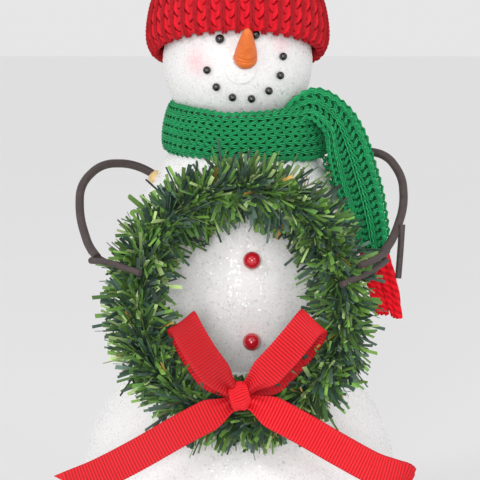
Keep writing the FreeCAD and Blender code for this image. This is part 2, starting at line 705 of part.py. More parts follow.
doc.recompute()
for thing in doc.Objects:
    if "Invalid" in thing.State or "Error" in thing.State:
        raise RuntimeError("%s did not build: %s" % (thing.Name, thing.State))
for subpart in SUBPARTS:
    if subpart.Shape.isNull() or not subpart.Shape.isValid() or subpart.Shape.Volume <= 0:
        raise RuntimeError(subpart.Label + " is not a sound solid")

os.makedirs("parts", exist_ok=True)
for subpart in SUBPARTS:
    subpart.Shape.exportStep("parts/%s.step" % subpart.Label)
    print("%-22s %3d solids %9.1f mm3" % (subpart.Label, len(subpart.Shape.Solids),
                                          subpart.Shape.Volume))
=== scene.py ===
import bisect
import json
import math
import random

import bmesh
import bpy
from bpy.props import FloatProperty, FloatVectorProperty, IntProperty, PointerProperty
from mathutils import Matrix, Vector, noise


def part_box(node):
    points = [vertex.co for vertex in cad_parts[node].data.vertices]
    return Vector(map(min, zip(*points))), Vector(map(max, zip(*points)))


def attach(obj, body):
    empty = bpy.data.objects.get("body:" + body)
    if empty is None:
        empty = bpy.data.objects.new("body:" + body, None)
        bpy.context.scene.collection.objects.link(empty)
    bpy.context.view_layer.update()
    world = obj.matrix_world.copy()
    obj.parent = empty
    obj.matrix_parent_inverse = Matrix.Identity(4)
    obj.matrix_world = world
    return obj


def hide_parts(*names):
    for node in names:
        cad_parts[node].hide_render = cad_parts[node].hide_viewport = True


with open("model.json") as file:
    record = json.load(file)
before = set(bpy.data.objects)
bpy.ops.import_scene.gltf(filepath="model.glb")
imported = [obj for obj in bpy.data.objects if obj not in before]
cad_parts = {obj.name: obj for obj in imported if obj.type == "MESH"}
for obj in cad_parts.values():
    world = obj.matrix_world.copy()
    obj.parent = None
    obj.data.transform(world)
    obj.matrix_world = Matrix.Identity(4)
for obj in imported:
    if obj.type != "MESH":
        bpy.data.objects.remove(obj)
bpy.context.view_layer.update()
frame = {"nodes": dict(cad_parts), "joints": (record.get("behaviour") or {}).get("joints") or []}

bl_info = {
    "name": "Snowman Figure",
    "version": (1, 0, 0),
    "blender": (4, 5, 0),
    "location": "3D View > Sidebar > Snowman",
    "description": "Glitter coat, knitted hat and scarf, needle wreath and bow of a snowman figure",
    "category": "Add Mesh",
}

MM = 0.001                 # sizes below are millimetres, Blender's are metres
SEED = 20


def mm(x, y, z):
    """A point given in millimetres."""
    return Vector((x, y, z)) * MM


def ease(value):
    """Smooth step from 0 to 1."""
    value = min(max(value, 0.0), 1.0)
    return value * value * (3 - 2 * value)


# ---------------------------------------------------------------- the frame's own places

def middle_of(node):
    low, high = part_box(node)
    return (Vector(low) + Vector(high)) / 2


head_low, head_high = (Vector(corner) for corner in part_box("head_ball"))
HEAD_RADIUS = (head_high.x - head_low.x) / 2
HEAD_CENTRE = Vector(((head_low.x + head_high.x) / 2, 0, head_high.z - HEAD_RADIUS))
HAT_AXIS = Vector(next(j["axis"] for j in frame["joints"] if j["name"] == "hat_lift")).normalized()
HAT_LEAN = math.atan2(HAT_AXIS.y, HAT_AXIS.z)
HAT_PLACE = Matrix.Translation(HEAD_CENTRE) @ Matrix.Rotation(-HAT_LEAN, 4, "X")
SCARF_PLACE = Matrix.Translation(mm(1.2, -0.6, 166.4)) @ Matrix.Rotation(math.radians(7.4), 4, "X")
WREATH_CENTRE = middle_of("wreath_wire")
WREATH_LEAN = math.radians(10)
WREATH_UP = Vector((0, math.sin(WREATH_LEAN), math.cos(WREATH_LEAN)))
WREATH_RIGHT = Vector((1, 0, 0))
WREATH_OUT = WREATH_RIGHT.cross(WREATH_UP)
BOW_CENTRE = middle_of("bow_knot")
BASE_CENTRE = mm(0, 0, 43.9)


# ---------------------------------------------------------------- what a user may change

def colour_of(name, description, red, green, blue):
    return FloatVectorProperty(name=name, description=description, subtype="COLOR", size=3,
                               min=0, max=1, default=(red, green, blue))


class SnowmanColours(bpy.types.PropertyGroup):
    """Colours of the finishes."""
    coat: colour_of("Coat", "Glitter coat of the three balls", 0.85, 0.845, 0.84)
    blush: colour_of("Blush", "Soft spots on the cheeks", 0.88, 0.26, 0.30)
    beads: colour_of("Face beads", "Eyes and mouth", 0.002, 0.002, 0.002)
    buttons: colour_of("Buttons", "Bead buttons", 0.55, 0.008, 0.02)
    carrot: colour_of("Carrot", "Nose", 0.78, 0.165, 0.022)
    twig: colour_of("Arms", "Coated wire arms and fingers", 0.058, 0.042, 0.040)
    hat: colour_of("Hat yarn", "Knitted hat", 0.98, 0.010, 0.026)
    scarf: colour_of("Scarf yarn", "Knitted scarf", 0.016, 0.31, 0.105)
    fringe: colour_of("Fringe yarn", "Fringe of the scarf", 0.74, 0.004, 0.014)
    ribbon: colour_of("Ribbon", "Ribbon of the bow", 0.80, 0.010, 0.020)


class SnowmanSizes(bpy.types.PropertyGroup):
    """Sizes and counts of the soft and scattered parts."""
    hat_strand: FloatProperty(name="Hat strand", description="Radius of a strand of the hat's yarn",
                              default=0.00042, unit="LENGTH")
    hat_ridges: IntProperty(name="Hat ridges", description="Ridges of rib round the hat", default=40)
    scarf_strand: FloatProperty(name="Scarf strand", description="Radius of a strand of the scarf's yarn",
                                default=0.00030, unit="LENGTH")
    needles: IntProperty(name="Needles", description="Needles tried on the wreath", default=6000)
    needle_length: FloatProperty(name="Needle length", description="Middle length of a needle",
                                 default=0.0110, unit="LENGTH")
    ribbon_width: FloatProperty(name="Ribbon width", description="Width of the bow's ribbon",
                                default=0.010, unit="LENGTH")
    rib_pitch: FloatProperty(name="Ribbon rib", description="From one rib of the ribbon to the next",
                             default=0.001, unit="LENGTH")
    grains: FloatProperty(name="Glitter grains", description="Grains to a square millimetre",
                          default=0.9)


# ---------------------------------------------------------------- finishes

class Number:
    """A number that changes over a surface. Python's arithmetic on it adds Math nodes."""

    def __init__(self, finish, socket):
        self.finish = finish
        self.socket = socket

    def maths(self, operation, *numbers):
        node = self.finish.node("ShaderNodeMath", {"operation": operation}, dict(enumerate(numbers)))
        return Number(self.finish, node.outputs[0])

    def __add__(self, other):
        return self.maths("ADD", self, other)

    __radd__ = __add__

    def __sub__(self, other):
        return self.maths("SUBTRACT", self, other)

    def __rsub__(self, other):
        return self.maths("SUBTRACT", other, self)

    def __mul__(self, other):
        return self.maths("MULTIPLY", self, other)

    __rmul__ = __mul__

    def __pow__(self, other):
        return self.maths("POWER", self, other)

    def __gt__(self, other):
        return self.maths("GREATER_THAN", self, other)

    def sine(self):
        return self.maths("SINE", self)

    def limited(self):
        return self.maths("MINIMUM", self.maths("MAXIMUM", self, 0.0), 1.0)


class Finish:
    """A material, whose nodes are added one by one."""

    def __init__(self, name, constants):
        self.material = bpy.data.materials.new(name)
        self.material.use_nodes = True
        self.tree = self.material.node_tree
        self.tree.nodes.clear()
        self.surface = self.node("ShaderNodeBsdfPrincipled", {}, constants)
        self.node("ShaderNodeOutputMaterial", {}, {"Surface": self.surface.outputs[0]})
        self.place = self.node("ShaderNodeTexCoord", {}, {}).outputs["Object"]

    def node(self, kind, settings, sockets):
        """Adds a node: its settings first, then the value or link of each named socket."""
        node = self.tree.nodes.new(kind)
        for name, value in settings.items():
            if name == "stops":
                self.set_stops(node.color_ramp.elements, value)
            else:
                setattr(node, name, value)
        for name, value in sockets.items():
            self.plug(node.inputs[name], value)
        return node

    def plug(self, socket, value):
        if isinstance(value, Number):
            value = value.socket
        if isinstance(value, bpy.types.NodeSocket):
            self.tree.links.new(value, socket)
        else:
            socket.default_value = value

    def set_stops(self, elements, stops):
        elements[0].position = stops[0][0]
        elements[-1].position = stops[-1][0]
        for place, shade in stops[1:-1]:
            elements.new(place)
        for element, (place, shade) in zip(elements, stops):
            element.color = shade

    def set(self, **inputs):
        """Gives the shader's own inputs, written with _ for a space."""
        for name, value in inputs.items():
            self.plug(self.surface.inputs[name.replace("_", " ")], value)

    def noise(self, scale, detail=2.0, vector=None):
        node = self.node("ShaderNodeTexNoise", {},
                         {"Scale": scale, "Detail": detail, "Vector": vector or self.place})
        return Number(self, node.outputs[0])

    def cells(self, scale, feature="F1"):
        return self.node("ShaderNodeTexVoronoi", {"feature": feature},
                         {"Scale": scale, "Vector": self.place})

    def ramp(self, factor, stops):
        return self.node("ShaderNodeValToRGB", {"stops": stops}, {0: factor}).outputs[0]

    def mix(self, factor, one, other, blend="MIX"):
        """Two colours mixed; sockets 0, 6 and 7 are the factor and the two colours."""
        node = self.node("ShaderNodeMix", {"data_type": "RGBA", "blend_type": blend},
                         {0: factor, 6: one, 7: other})
        return node.outputs[2]

    def vector(self, operation, *values):
        node = self.node("ShaderNodeVectorMath", {"operation": operation}, dict(enumerate(values)))
        return node.outputs[0]

    def bump(self, height, distance, normal=None):
        sockets = {"Height": height, "Distance": distance, "Strength": 1.0}
        if normal:
            sockets["Normal"] = normal
        return self.node("ShaderNodeBump", {}, sockets).outputs[0]

    def mottled(self, tone, dark, pale, rough, rougher, depth):
        """The material, coloured, roughened and bumped by one changing number."""
        self.set(Base_Color=self.mix(tone, dark, pale), Roughness=rough + tone * rougher,
                 Normal=self.bump(tone, depth))
        return self.material

    def along(self):
        """The two numbers of the piece's own UV map."""
        uv = self.node("ShaderNodeUVMap", {"uv_map": "UVMap"}, {}).outputs[0]
        parts = self.node("ShaderNodeSeparateXYZ", {}, {0: uv})
        return Number(self, parts.outputs[0]), Number(self, parts.outputs[1])


def shade(colour, light=1.0):
    """A colour as four numbers, made lighter or darker."""
    return tuple(min(part * light, 1.0) for part in colour) + (1.0,)


def colours():
    return bpy.context.scene.snowman_colours


def sizes():
    return bpy.context.scene.snowman_sizes


def glitter_coat(name, light=1.0, cheeks=()):
    """White grit with flakes that each look their own way, and soft pink cheeks where asked.

    Each cheek is its place, its reach and its strength. light scales the whole coat's colour: below 1 it
    is painted shade.
    """
    coat = Finish(name, {"IOR": 1.5, "Specular IOR Level": 0.6, "Coat Roughness": 0.12})
    flakes = coat.cells(1500)
    own = coat.node("ShaderNodeTexWhiteNoise", {}, {"Vector": flakes.outputs["Position"]})
    chance = Number(coat, own.outputs["Value"])
    bright = chance > 0.85
    lean = coat.vector("SUBTRACT", flakes.outputs["Color"], (0.5, 0.5, 0.5))
    lean = coat.vector("MULTIPLY", lean, 0.1 + bright * 0.34)
    normal = coat.node("ShaderNodeNewGeometry", {}, {}).outputs["Normal"]
    tilted = coat.vector("NORMALIZE", coat.vector("ADD", normal, lean))
    grit = Number(coat, coat.cells(2300).outputs["Distance"])
    coat.set(Normal=coat.bump(grit, 0.05 * MM, tilted), Roughness=0.55 - bright * 0.38,
             Coat_Weight=bright * 0.9)
    cloudy = coat.noise(60, 3)
    colour = coat.mix(cloudy, shade(colours().coat, 0.98 * light), shade(colours().coat, 1.02 * light))
    colour = coat.mix((chance > 0.6) * 0.35, colour, shade(colours().coat, 0.90 * light))
    for place, reach, strength in cheeks:
        away = coat.node("ShaderNodeVectorMath", {"operation": "DISTANCE"},
                         {0: coat.place, 1: tuple(place)}).outputs["Value"]
        spot = (1 - Number(coat, away) * (1 / reach)).limited()
        powder = spot ** 1.4 * (0.65 + coat.noise(900) * 0.7) * strength
        colour = coat.mix(powder.limited(), colour, shade(colours().blush))
    coat.set(Base_Color=colour)
    return coat.material


def grain_finish():
    """Clear-white crushed grains."""
    grain = Finish("glitter_grains", {"IOR": 1.55, "Specular IOR Level": 0.7, "Coat Weight": 0.3})
    tone = grain.noise(700, 1)
    grain.set(Base_Color=grain.mix(tone, shade(colours().coat, 1.02), shade(colours().coat, 1.15)),
              Roughness=0.16 + tone * 0.4)
    return grain.material


def lacquer(name, colour, speck):
    """Glossy moulded bead with faint dust and ripples."""
    bead = Finish(name, {"IOR": 1.5, "Coat Roughness": 0.03, "Coat Weight": 0.8})
    dust = (bead.noise(1400, 2) - 0.66).limited() * 3
    bead.set(Base_Color=bead.mix(dust, shade(colour), shade(colour, speck)),
             Roughness=0.12 + bead.noise(500) * 0.1,
             Normal=bead.bump(bead.noise(420), 0.06 * MM))
    return bead.material


def carrot_finish():
    clay = Finish("carrot_clay", {"IOR": 1.46, "Subsurface Weight": 0.12,
                                  "Subsurface Radius": (0.002, 0.0008, 0.0003),
                                  "Coat Roughness": 0.3})
    streaks = clay.noise(260, 4)
    fine = clay.noise(1300, 3)
    colour = clay.mix(streaks, shade(colours().carrot, 0.82), shade(colours().carrot, 1.12))
    colour = clay.mix((fine - 0.55).limited(), colour, shade((0.95, 0.5, 0.16)))
    clay.set(Base_Color=colour, Roughness=0.42 + fine * 0.2, Coat_Weight=0.12 + streaks * 0.1,
             Normal=clay.bump(streaks + fine * 0.4, 0.18 * MM))
    return clay.material


def twig_finish():
    """Brown rubbery coat on wire, with drawn lines and paler rubbed spots."""
    twig = Finish("twig_coat", {"IOR": 1.46})
    grain = twig.noise(420, 4)
    fine = twig.noise(2600, 2)
    colour = twig.mix(grain, shade(colours().twig, 0.72), shade(colours().twig, 1.45))
    rubbed = ((fine * grain) - 0.36).limited() * 2.5
    colour = twig.mix(rubbed.limited(), colour, shade((0.2, 0.165, 0.15)))
    twig.set(Base_Color=colour, Roughness=0.46 + fine * 0.22,
             Normal=twig.bump(grain + fine * 0.5, 0.16 * MM))
    return twig.material


def glue_finish():
    glue = Finish("amber_glue", {"IOR": 1.5, "Coat Weight": 0.3})
    return glue.mottled(glue.noise(600, 3), (0.50, 0.27, 0.05, 1), (0.86, 0.70, 0.38, 1),
                        rough=0.22, rougher=0.25, depth=0.4 * MM)


def wood_finish():
    wood = Finish("dowel_wood", {"IOR": 1.45})
    stretched = wood.node("ShaderNodeMapping", {}, {0: wood.place, 3: (1.0, 1.0, 0.06)}).outputs[0]
    return wood.mottled(wood.noise(1500, 4, stretched), (0.42, 0.25, 0.12, 1), (0.72, 0.5, 0.29, 1),
                        rough=0.55, rougher=0.2, depth=0.1 * MM)


def metal_finish(name, colour, rough):
    metal = Finish(name, {"Metallic": 1.0})
    return metal.mottled(metal.noise(2200, 3), shade(colour, 0.8), shade(colour, 1.1),
                         rough=rough, rougher=0.15, depth=0.03 * MM)


def yarn_finish(name, colour, twists, dark):
    """Plied yarn: the ply runs round the strand along its UV map, with loose fibres in the colour. Along
    the ply the colour is painted shade in the grooves and painted highlight on the crests.
    """
    yarn = Finish(name, {"IOR": 1.45, "Sheen Weight": 0.05, "Sheen Roughness": 0.45,
                         "Specular IOR Level": 0.2})
    along, around = yarn.along()
    ply = ((along * twists + around * 2) * math.tau).sine() * 0.5 + 0.5
    fibre = yarn.noise(3800, 3)
    patch = yarn.noise(160, 2)
    tone = (ply * 0.55 + fibre * 0.35 + patch * 0.25).limited()
    # from painted shade (dark times the colour) to painted highlight (1.6 times it), following the ply,
    # mixed with the random tone of fibres and patches
    ply_shade_and_highlight_stops = [(0.15, shade(colour, dark)), (0.55, shade(colour, 1.0)), (0.95, shade(colour, 1.6))]
    yarn.set(Base_Color=yarn.ramp(tone, ply_shade_and_highlight_stops), Roughness=0.62 + fibre * 0.25,
             Normal=yarn.bump(ply + fibre * 0.6, 0.16 * MM))
    return yarn.material


def shaded_backing_finish(name, colour, dark, pale):
    """The knit behind its raised stitches, in a darker colour that is painted shade between them."""
    cloth = Finish(name, {"IOR": 1.45, "Specular IOR Level": 0.2})
    return cloth.mottled(cloth.noise(1100, 3), shade(colour, dark), shade(colour, pale),
                         rough=0.8, rougher=0.15, depth=0.3 * MM)


def needle_finish():
    """Cut film: every blade has its own green, paler in fine noise streaks."""
    film = Finish("needle_film", {"IOR": 1.48, "Specular IOR Level": 0.45})
    tint = film.node("ShaderNodeAttribute", {"attribute_name": "tint"}, {}).outputs["Color"]
    streak = film.noise(1500, 2)
    colour = film.mix((streak - 0.3).limited() * 0.8, tint, (0.42, 0.55, 0.3, 1), "SOFT_LIGHT")
    film.set(Base_Color=colour, Roughness=0.42 + streak * 0.25, Normal=film.bump(streak, 0.08 * MM))
    return film.material


def ribbon_finish():
    """Ribbed ribbon: its colour is painted shade in the grooves between ribs and painted highlight on
    their crests, with the warp threads as faint stripes.
    """
    ribbon = Finish("red_ribbon", {"IOR": 1.47, "Specular IOR Level": 0.35})
    side, ribs = ribbon.along()
    threads = (side * 60 * math.tau).sine() * 0.5 + 0.5
    # painted shade in each rib's groove and painted highlight on its crest, in step with the ribs'
    # geometry
    rib_shade_and_highlight = (ribs * math.tau).sine() * 0.5 + 0.5
    fibre = ribbon.noise(3200, 2)
    tone = (rib_shade_and_highlight * 0.65 + threads * 0.1 + fibre * 0.3).limited()
    ribbon.set(Base_Color=ribbon.mix(tone, shade(colours().ribbon, 0.35), shade(colours().ribbon, 1.25)),
               Roughness=0.38 + fibre * 0.2, Normal=ribbon.bump(threads * 0.6 + fibre, 0.05 * MM))
    return ribbon.material


def floor_finish():
    floor = Finish("floor_paint", {})
    mottle = floor.noise(4, 2)
    floor.set(Roughness=0.9,
              Base_Color=floor.mix(mottle, (0.870, 0.865, 0.867, 1), (0.885, 0.880, 0.882, 1)))
    return floor.material


# ---------------------------------------------------------------- making meshes

def piece(name, made, material, body, smooth=True):
    """Puts a finished mesh or bmesh into the scene as a piece that rides on a body."""
    mesh = made if isinstance(made, bpy.types.Mesh) else mesh_from(made, name, smooth)
    thing = bpy.data.objects.new(name, mesh)
    bpy.context.scene.collection.objects.link(thing)
    mesh.materials.clear()
    mesh.materials.append(material)
    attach(thing, body)
    return thing


def mesh_from(bm, name, smooth=True):
    mesh = bpy.data.meshes.new(name)
    for face in bm.faces:
        face.smooth = smooth
    bm.to_mesh(mesh)
    bm.free()
    return mesh


def repaint(material, *nodes):
    """Gives CAD nodes a finish."""
    for node in nodes:
        thing = frame["nodes"][node]
        if not thing.material_slots:
            thing.data.materials.append(material)
        for material_slot in thing.material_slots:
            material_slot.material = material


class Route:
    """A smooth line through a few points, read by the share of its length that has been passed."""

    STEPS = 14

    def __init__(self, *points, closed=False):
        self.closed = closed
        if closed:
            padded = [points[-1], *points, points[0], points[1]]
        else:
            padded = [points[0] * 2 - points[1], *points, points[-1] * 2 - points[-2]]
        self.line = []
        for before, start, end, after in zip(padded, padded[1:], padded[2:], padded[3:]):
            for step in range(self.STEPS):
                self.line.append(self.blend(before, start, end, after, step / self.STEPS))
        self.line.append(padded[-2])
        self.passed = [0.0]
        for start, end in zip(self.line, self.line[1:]):
            self.passed.append(self.passed[-1] + (end - start).length)
        self.length = self.passed[-1]

    @staticmethod
    def blend(before, start, end, after, t):
        return 0.5 * (2 * start + (end - before) * t
                      + (2 * before - 5 * start + 4 * end - after) * t ** 2
                      + (3 * start - before - 3 * end + after) * t ** 3)

    def at(self, share):
        share = share % 1.0 if self.closed else min(max(share, 0.0), 1.0)
        distance = share * self.length
        number = min(bisect.bisect_right(self.passed, distance), len(self.line) - 1)
        start = self.passed[number - 1]
        part = (distance - start) / max(self.passed[number] - start, 1e-12)
        return self.line[number - 1].lerp(self.line[number], part)


def skin(columns, rows, place, ring=False, thickness=0.0, chart=None):
    """A grid laid on place(across, along), each from 0 to 1: welded where it meets itself when ring, with
    a wall if asked, and with chart(across, along) as its UV map."""
    bm = bmesh.new()
    layer = bm.loops.layers.uv.new("UVMap")
    bmesh.ops.create_grid(bm, x_segments=columns, y_segments=rows, size=1, calc_uvs=True)
    if chart:
        for face in bm.faces:
            for corner in face.loops:
                corner[layer].uv = chart((corner.vert.co.x + 1) / 2, (corner.vert.co.y + 1) / 2)
    for vertex in bm.verts:
        vertex.co = place((vertex.co.x + 1) / 2, (vertex.co.y + 1) / 2)
    if ring:
        bmesh.ops.remove_doubles(bm, verts=bm.verts, dist=1e-7)
    bmesh.ops.recalc_face_normals(bm, faces=bm.faces)
    if thickness:
        bmesh.ops.solidify(bm, geom=bm.faces[:], thickness=thickness)
    return bm


def yarn(name, strands, radius, ring=False):
    """Round strands along lists of points, as one mesh."""
    curve = bpy.data.curves.new(name, "CURVE")
    curve.dimensions = "3D"
    curve.bevel_depth = radius
    curve.bevel_resolution = 1
    curve.use_fill_caps = not ring
    for points in strands:
        spline = curve.splines.new("POLY")
        spline.points.add(len(points) - 1)
        for spot, point in zip(spline.points, points):
            spot.co = (*point, 1)
        spline.use_cyclic_u = ring
    holder = bpy.data.objects.new(name + "_line", curve)
    mesh = bpy.data.meshes.new_from_object(holder)
    bpy.data.objects.remove(holder)
    bpy.data.curves.remove(curve)
    mesh.name = name
    mesh.shade_smooth()
    return mesh


def close_ends(bm):
    """Fills the open ends of a tube."""
    bmesh.ops.holes_fill(bm, edges=[edge for edge in bm.edges if edge.is_boundary])
    bmesh.ops.recalc_face_normals(bm, faces=bm.faces)


def knitted(name, strands, radius, finish, body, ring=False):
    """A piece made of strands of yarn."""
    return piece(name, yarn(name, strands, radius, ring), finish, body)


def scattered(shape, places, tints=None):
    """A mesh with a copy of a small shape at each place, each copy in its own tint."""
    batch_size = 150
    count = len(shape.vertices)
    whole = bmesh.new()
    whole.verts.layers.float_color.new("tint")
    for first in range(0, len(places), batch_size):
        batch = bmesh.new()
        layer = batch.verts.layers.float_color.new("tint")
        for number in range(first, min(first + batch_size, len(places))):
            batch.from_mesh(shape)
            batch.verts.ensure_lookup_table()
            for vertex in batch.verts[-count:]:
                vertex.co = places[number] @ vertex.co
                if tints:
                    vertex[layer] = tints[number]
        mesh = bpy.data.meshes.new("batch")
        batch.to_mesh(mesh)
        batch.free()
        whole.from_mesh(mesh)
        bpy.data.meshes.remove(mesh)
    return whole


def facing(point, direction, twist=0.0, scale=(1, 1, 1)):
    """Matrix that stands +Z along a direction at a point, spun about it and scaled."""
    turn = direction.to_track_quat("Z", "X").to_matrix().to_4x4()
    return (Matrix.Translation(point) @ turn @ Matrix.Rotation(twist, 4, "Z")
            @ Matrix.Diagonal((*scale, 1)))


def ahead(turn, rise):
    """The way that is turned to the right of the front, and raised, by degrees."""
    turn = math.radians(turn)
    rise = math.radians(rise)
    return Vector((math.sin(turn) * math.cos(rise), -math.cos(turn) * math.cos(rise), math.sin(rise)))


def raised(profile, share, out):
    """Point on a turned shape's profile, moved out of its surface."""
    along = (profile.at(share + 0.01) - profile.at(share - 0.01)).normalized()
    return profile.at(share) + Vector((along.z, 0, -along.x)) * out


def outline(points, closed=False):
    """Line of (radius, height) pairs, in millimetres, that a turned shape is made from."""
    return Route(*(mm(radius, 0, height) for radius, height in points), closed=closed)


def turned(radius, around, height):
    """Point at a radius and an angle round the Z axis."""
    return Vector((radius * math.cos(around), radius * math.sin(around), height))


# ---------------------------------------------------------------- body shapes

TORSO_AXIS = 1.0 * MM
TORSO_WIDEST = 112.0 * MM
TORSO_RADIUS = 39.5 * MM
LOWER_CURVE = 41.6 * MM
UPPER_CURVE = 76.5 * MM
BASE_RADIUS = 53.4 * MM
TORSO_SPAN = (0.084, 0.166)       # lowest and highest point of the torso, metres
SCARF_HALF_HEIGHT = 0.0085
SCARF_REACH = 0.0280              # from the neck's axis to the outside of the wrap
BASE_GRAINS = (0.002, 0.0862)     # lowest and highest grain, metres
TORSO_GRAINS = (0.0872, 0.1645)
LOWEST_HEAD_GRAIN = 0.1665


def torso_radius(height):
    rise = height - TORSO_WIDEST
    curve = UPPER_CURVE if rise > 0 else LOWER_CURVE
    return TORSO_RADIUS - curve + math.sqrt(max(curve ** 2 - rise ** 2, 0.0))


def depth_in_body(point):
    """How far a point is inside the figure's body or scarf; below zero outside."""
    inside = BASE_RADIUS - (point - BASE_CENTRE).length
    inside = max(inside, HEAD_RADIUS - (point - HEAD_CENTRE).length)
    if TORSO_SPAN[0] < point.z < TORSO_SPAN[1]:
        inside = max(inside, torso_radius(point.z) - math.hypot(point.x - TORSO_AXIS, point.y))
    ring = SCARF_PLACE.inverted() @ point
    if abs(ring.z) < SCARF_HALF_HEIGHT:
        inside = max(inside, SCARF_REACH - math.hypot(ring.x, ring.y))
    return inside


def grain_shape():
    """A crushed grain with four flat sides."""
    bm = bmesh.new()
    bmesh.ops.create_cone(bm, cap_ends=True, segments=3, radius1=1, radius2=0, depth=1)
    return mesh_from(bm, "grain", smooth=False)


def grains_on(name, spots, finish, seed):
    """Grains stuck on a surface at spots, each a point and the way out."""
    chance = random.Random(seed)
    shape = grain_shape()
    places = []
    for point, out in spots:
        lean = Vector((chance.gauss(0, 1), chance.gauss(0, 1), chance.gauss(0, 1)))
        size = chance.uniform(0.18, 0.34) * MM
        tall = chance.uniform(0.06, 0.13) * MM
        places.append(facing(point + out * tall * 0.15, (out + lean * 0.22).normalized(),
                             chance.uniform(0, math.tau), (size, size, tall)))
    piece(name, scattered(shape, places), finish, "figure", smooth=False)


def ball_spots(centre, radius, lowest, highest, density, chance):
    """Even random spots on the stretch of a ball between two heights."""
    area = math.tau * radius * (highest - lowest) / MM ** 2
    spots = []
    for number in range(int(area * density)):
        height = chance.uniform(lowest, highest) - centre.z
        around = chance.uniform(0, math.tau)
        flat = math.sqrt(max(radius ** 2 - height ** 2, 0.0))
        out = Vector((flat * math.cos(around), flat * math.sin(around), height)) / radius
        spots.append((centre + out * radius, out))
    return spots


def torso_spots(density, chance):
    """Even random spots on the torso, thin band by thin band."""
    spots = []
    step = 0.5 * MM
    height, highest = TORSO_GRAINS
    while height < highest:
        radius = torso_radius(height)
        slope = (torso_radius(height + step) - torso_radius(height - step)) / (2 * step)
        area = math.tau * radius * step * math.sqrt(1 + slope ** 2) / MM ** 2
        for number in range(int(area * density + chance.random())):
            around = chance.uniform(0, math.tau)
            level = height + chance.uniform(0, step)
            radius = torso_radius(level)
            ray = Vector((math.cos(around), math.sin(around), 0))
            out = (ray - Vector((0, 0, slope))).normalized()
            spots.append((Vector((TORSO_AXIS, 0, level)) + ray * radius, out))
        height += step
    return spots


class SNOWMAN_OT_bodies(bpy.types.Operator):
    """Coats the three balls with white glitter and crushed grains"""
    bl_idname = "snowman.bodies"
    bl_label = "Body balls"

    def execute(self, context):
        left = HEAD_CENTRE + ahead(-32.0, 1.2) * HEAD_RADIUS
        right = HEAD_CENTRE + ahead(35.7, 13.6) * HEAD_RADIUS
        repaint(glitter_coat("glitter_body"), "base_ball", "torso_ball")
        cheeks = [(left, 7.4 * MM, 0.48), (right, 5.6 * MM, 0.32)]
        # the head's coat is painted shade: the body's coat darkened to 0.93 of itself
        repaint(glitter_coat("glitter_head_painted_shade", light=0.93, cheeks=cheeks), "head_ball", "nose_glue")
        chance = random.Random(SEED)
        density = sizes().grains
        balls = {"base_grains": ball_spots(BASE_CENTRE, BASE_RADIUS, *BASE_GRAINS, density, chance),
                 "torso_grains": torso_spots(density, chance),
                 "head_grains": ball_spots(HEAD_CENTRE, HEAD_RADIUS, LOWEST_HEAD_GRAIN, head_high.z,
                                           density, chance)}
        finish = grain_finish()
        for number, (name, spots) in enumerate(balls.items(), 1):
            grains_on(name, spots, finish, SEED + number)
        return {"FINISHED"}


class SNOWMAN_OT_face(bpy.types.Operator):
    """Finishes the eyes, mouth, buttons and pins, and shapes the carrot nose"""
    bl_idname = "snowman.face"
    bl_label = "Face and buttons"

    def execute(self, context):
        repaint(lacquer("black_bead", colours().beads, speck=6.0), "left_eye", "right_eye", "mouth_beads")
        repaint(lacquer("red_bead", colours().buttons, speck=1.5), "upper_button", "lower_button")
        repaint(metal_finish("pin_steel", (0.62, 0.62, 0.64), rough=0.2), "bead_pins")
        repaint(glue_finish(), "left_shoulder_glue", "right_shoulder_glue")
        self.carrot()
        return {"FINISHED"}

    def carrot(self):
        """Rolled clay carrot with thumb creases round its thick end."""
        profile = outline(((0.2, -1.9), (2.3, -1.7), (3.4, -0.6), (3.85, 1.0), (3.6, 3.4), (3.1, 5.9),
                           (2.5, 8.4), (1.9, 10.7), (1.25, 12.6), (0.6, 13.4), (0.02, 13.55)))
        root = HEAD_CENTRE + HEAD_RADIUS * ahead(5.8, 2.5)
        stand = facing(root, Vector((0.05, -0.67, 0.74)))
        creases = ((1.9, 0.34, 0.32), (3.0, 0.24, 0.3), (5.4, 0.12, 0.3), (8.2, 0.10, 0.25))

        def place(across, along):
            spot = profile.at(along)
            around = across * math.tau
            radius = spot.x
            for height, depth, width in creases:
                wobble = height + 0.25 * math.sin(around * 2 + height)
                pinch = math.exp(-((spot.z / MM - wobble) / width) ** 2)
                radius -= depth * MM * pinch * (0.6 + 0.4 * math.cos(around + height))
            lumps = noise.noise(Vector((math.cos(around), math.sin(around), spot.z * 300))) * 0.12 * MM
            radius = max(radius + lumps * min(spot.x / MM, 1), 0.02 * MM)
            return stand @ turned(radius, around, spot.z)

        bm = skin(40, 90, place, ring=True)
        close_ends(bm)
        nose = piece("carrot", bm, carrot_finish(), "figure")
        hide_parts("carrot_nose")


class SNOWMAN_OT_arms(bpy.types.Operator):
    """Finishes the wire arms, fingers and hidden dowels"""
    bl_idname = "snowman.arms"
    bl_label = "Arms and dowels"

    def execute(self, context):
        repaint(twig_finish(), "left_arm", "right_arm", "left_front_finger", "left_back_finger",
                "right_front_finger", "right_top_finger", "right_thumb", "right_arm_twig")
        repaint(wood_finish(), "waist_dowel", "neck_dowel")
        return {"FINISHED"}


# ---------------------------------------------------------------- hat

def on_hat(profile, around, share, lift):
    """Point on a profile turned about the hat's axis, lifted off its surface."""
    spot = raised(profile, share, lift)
    return HAT_PLACE @ turned(spot.x, around, spot.z)


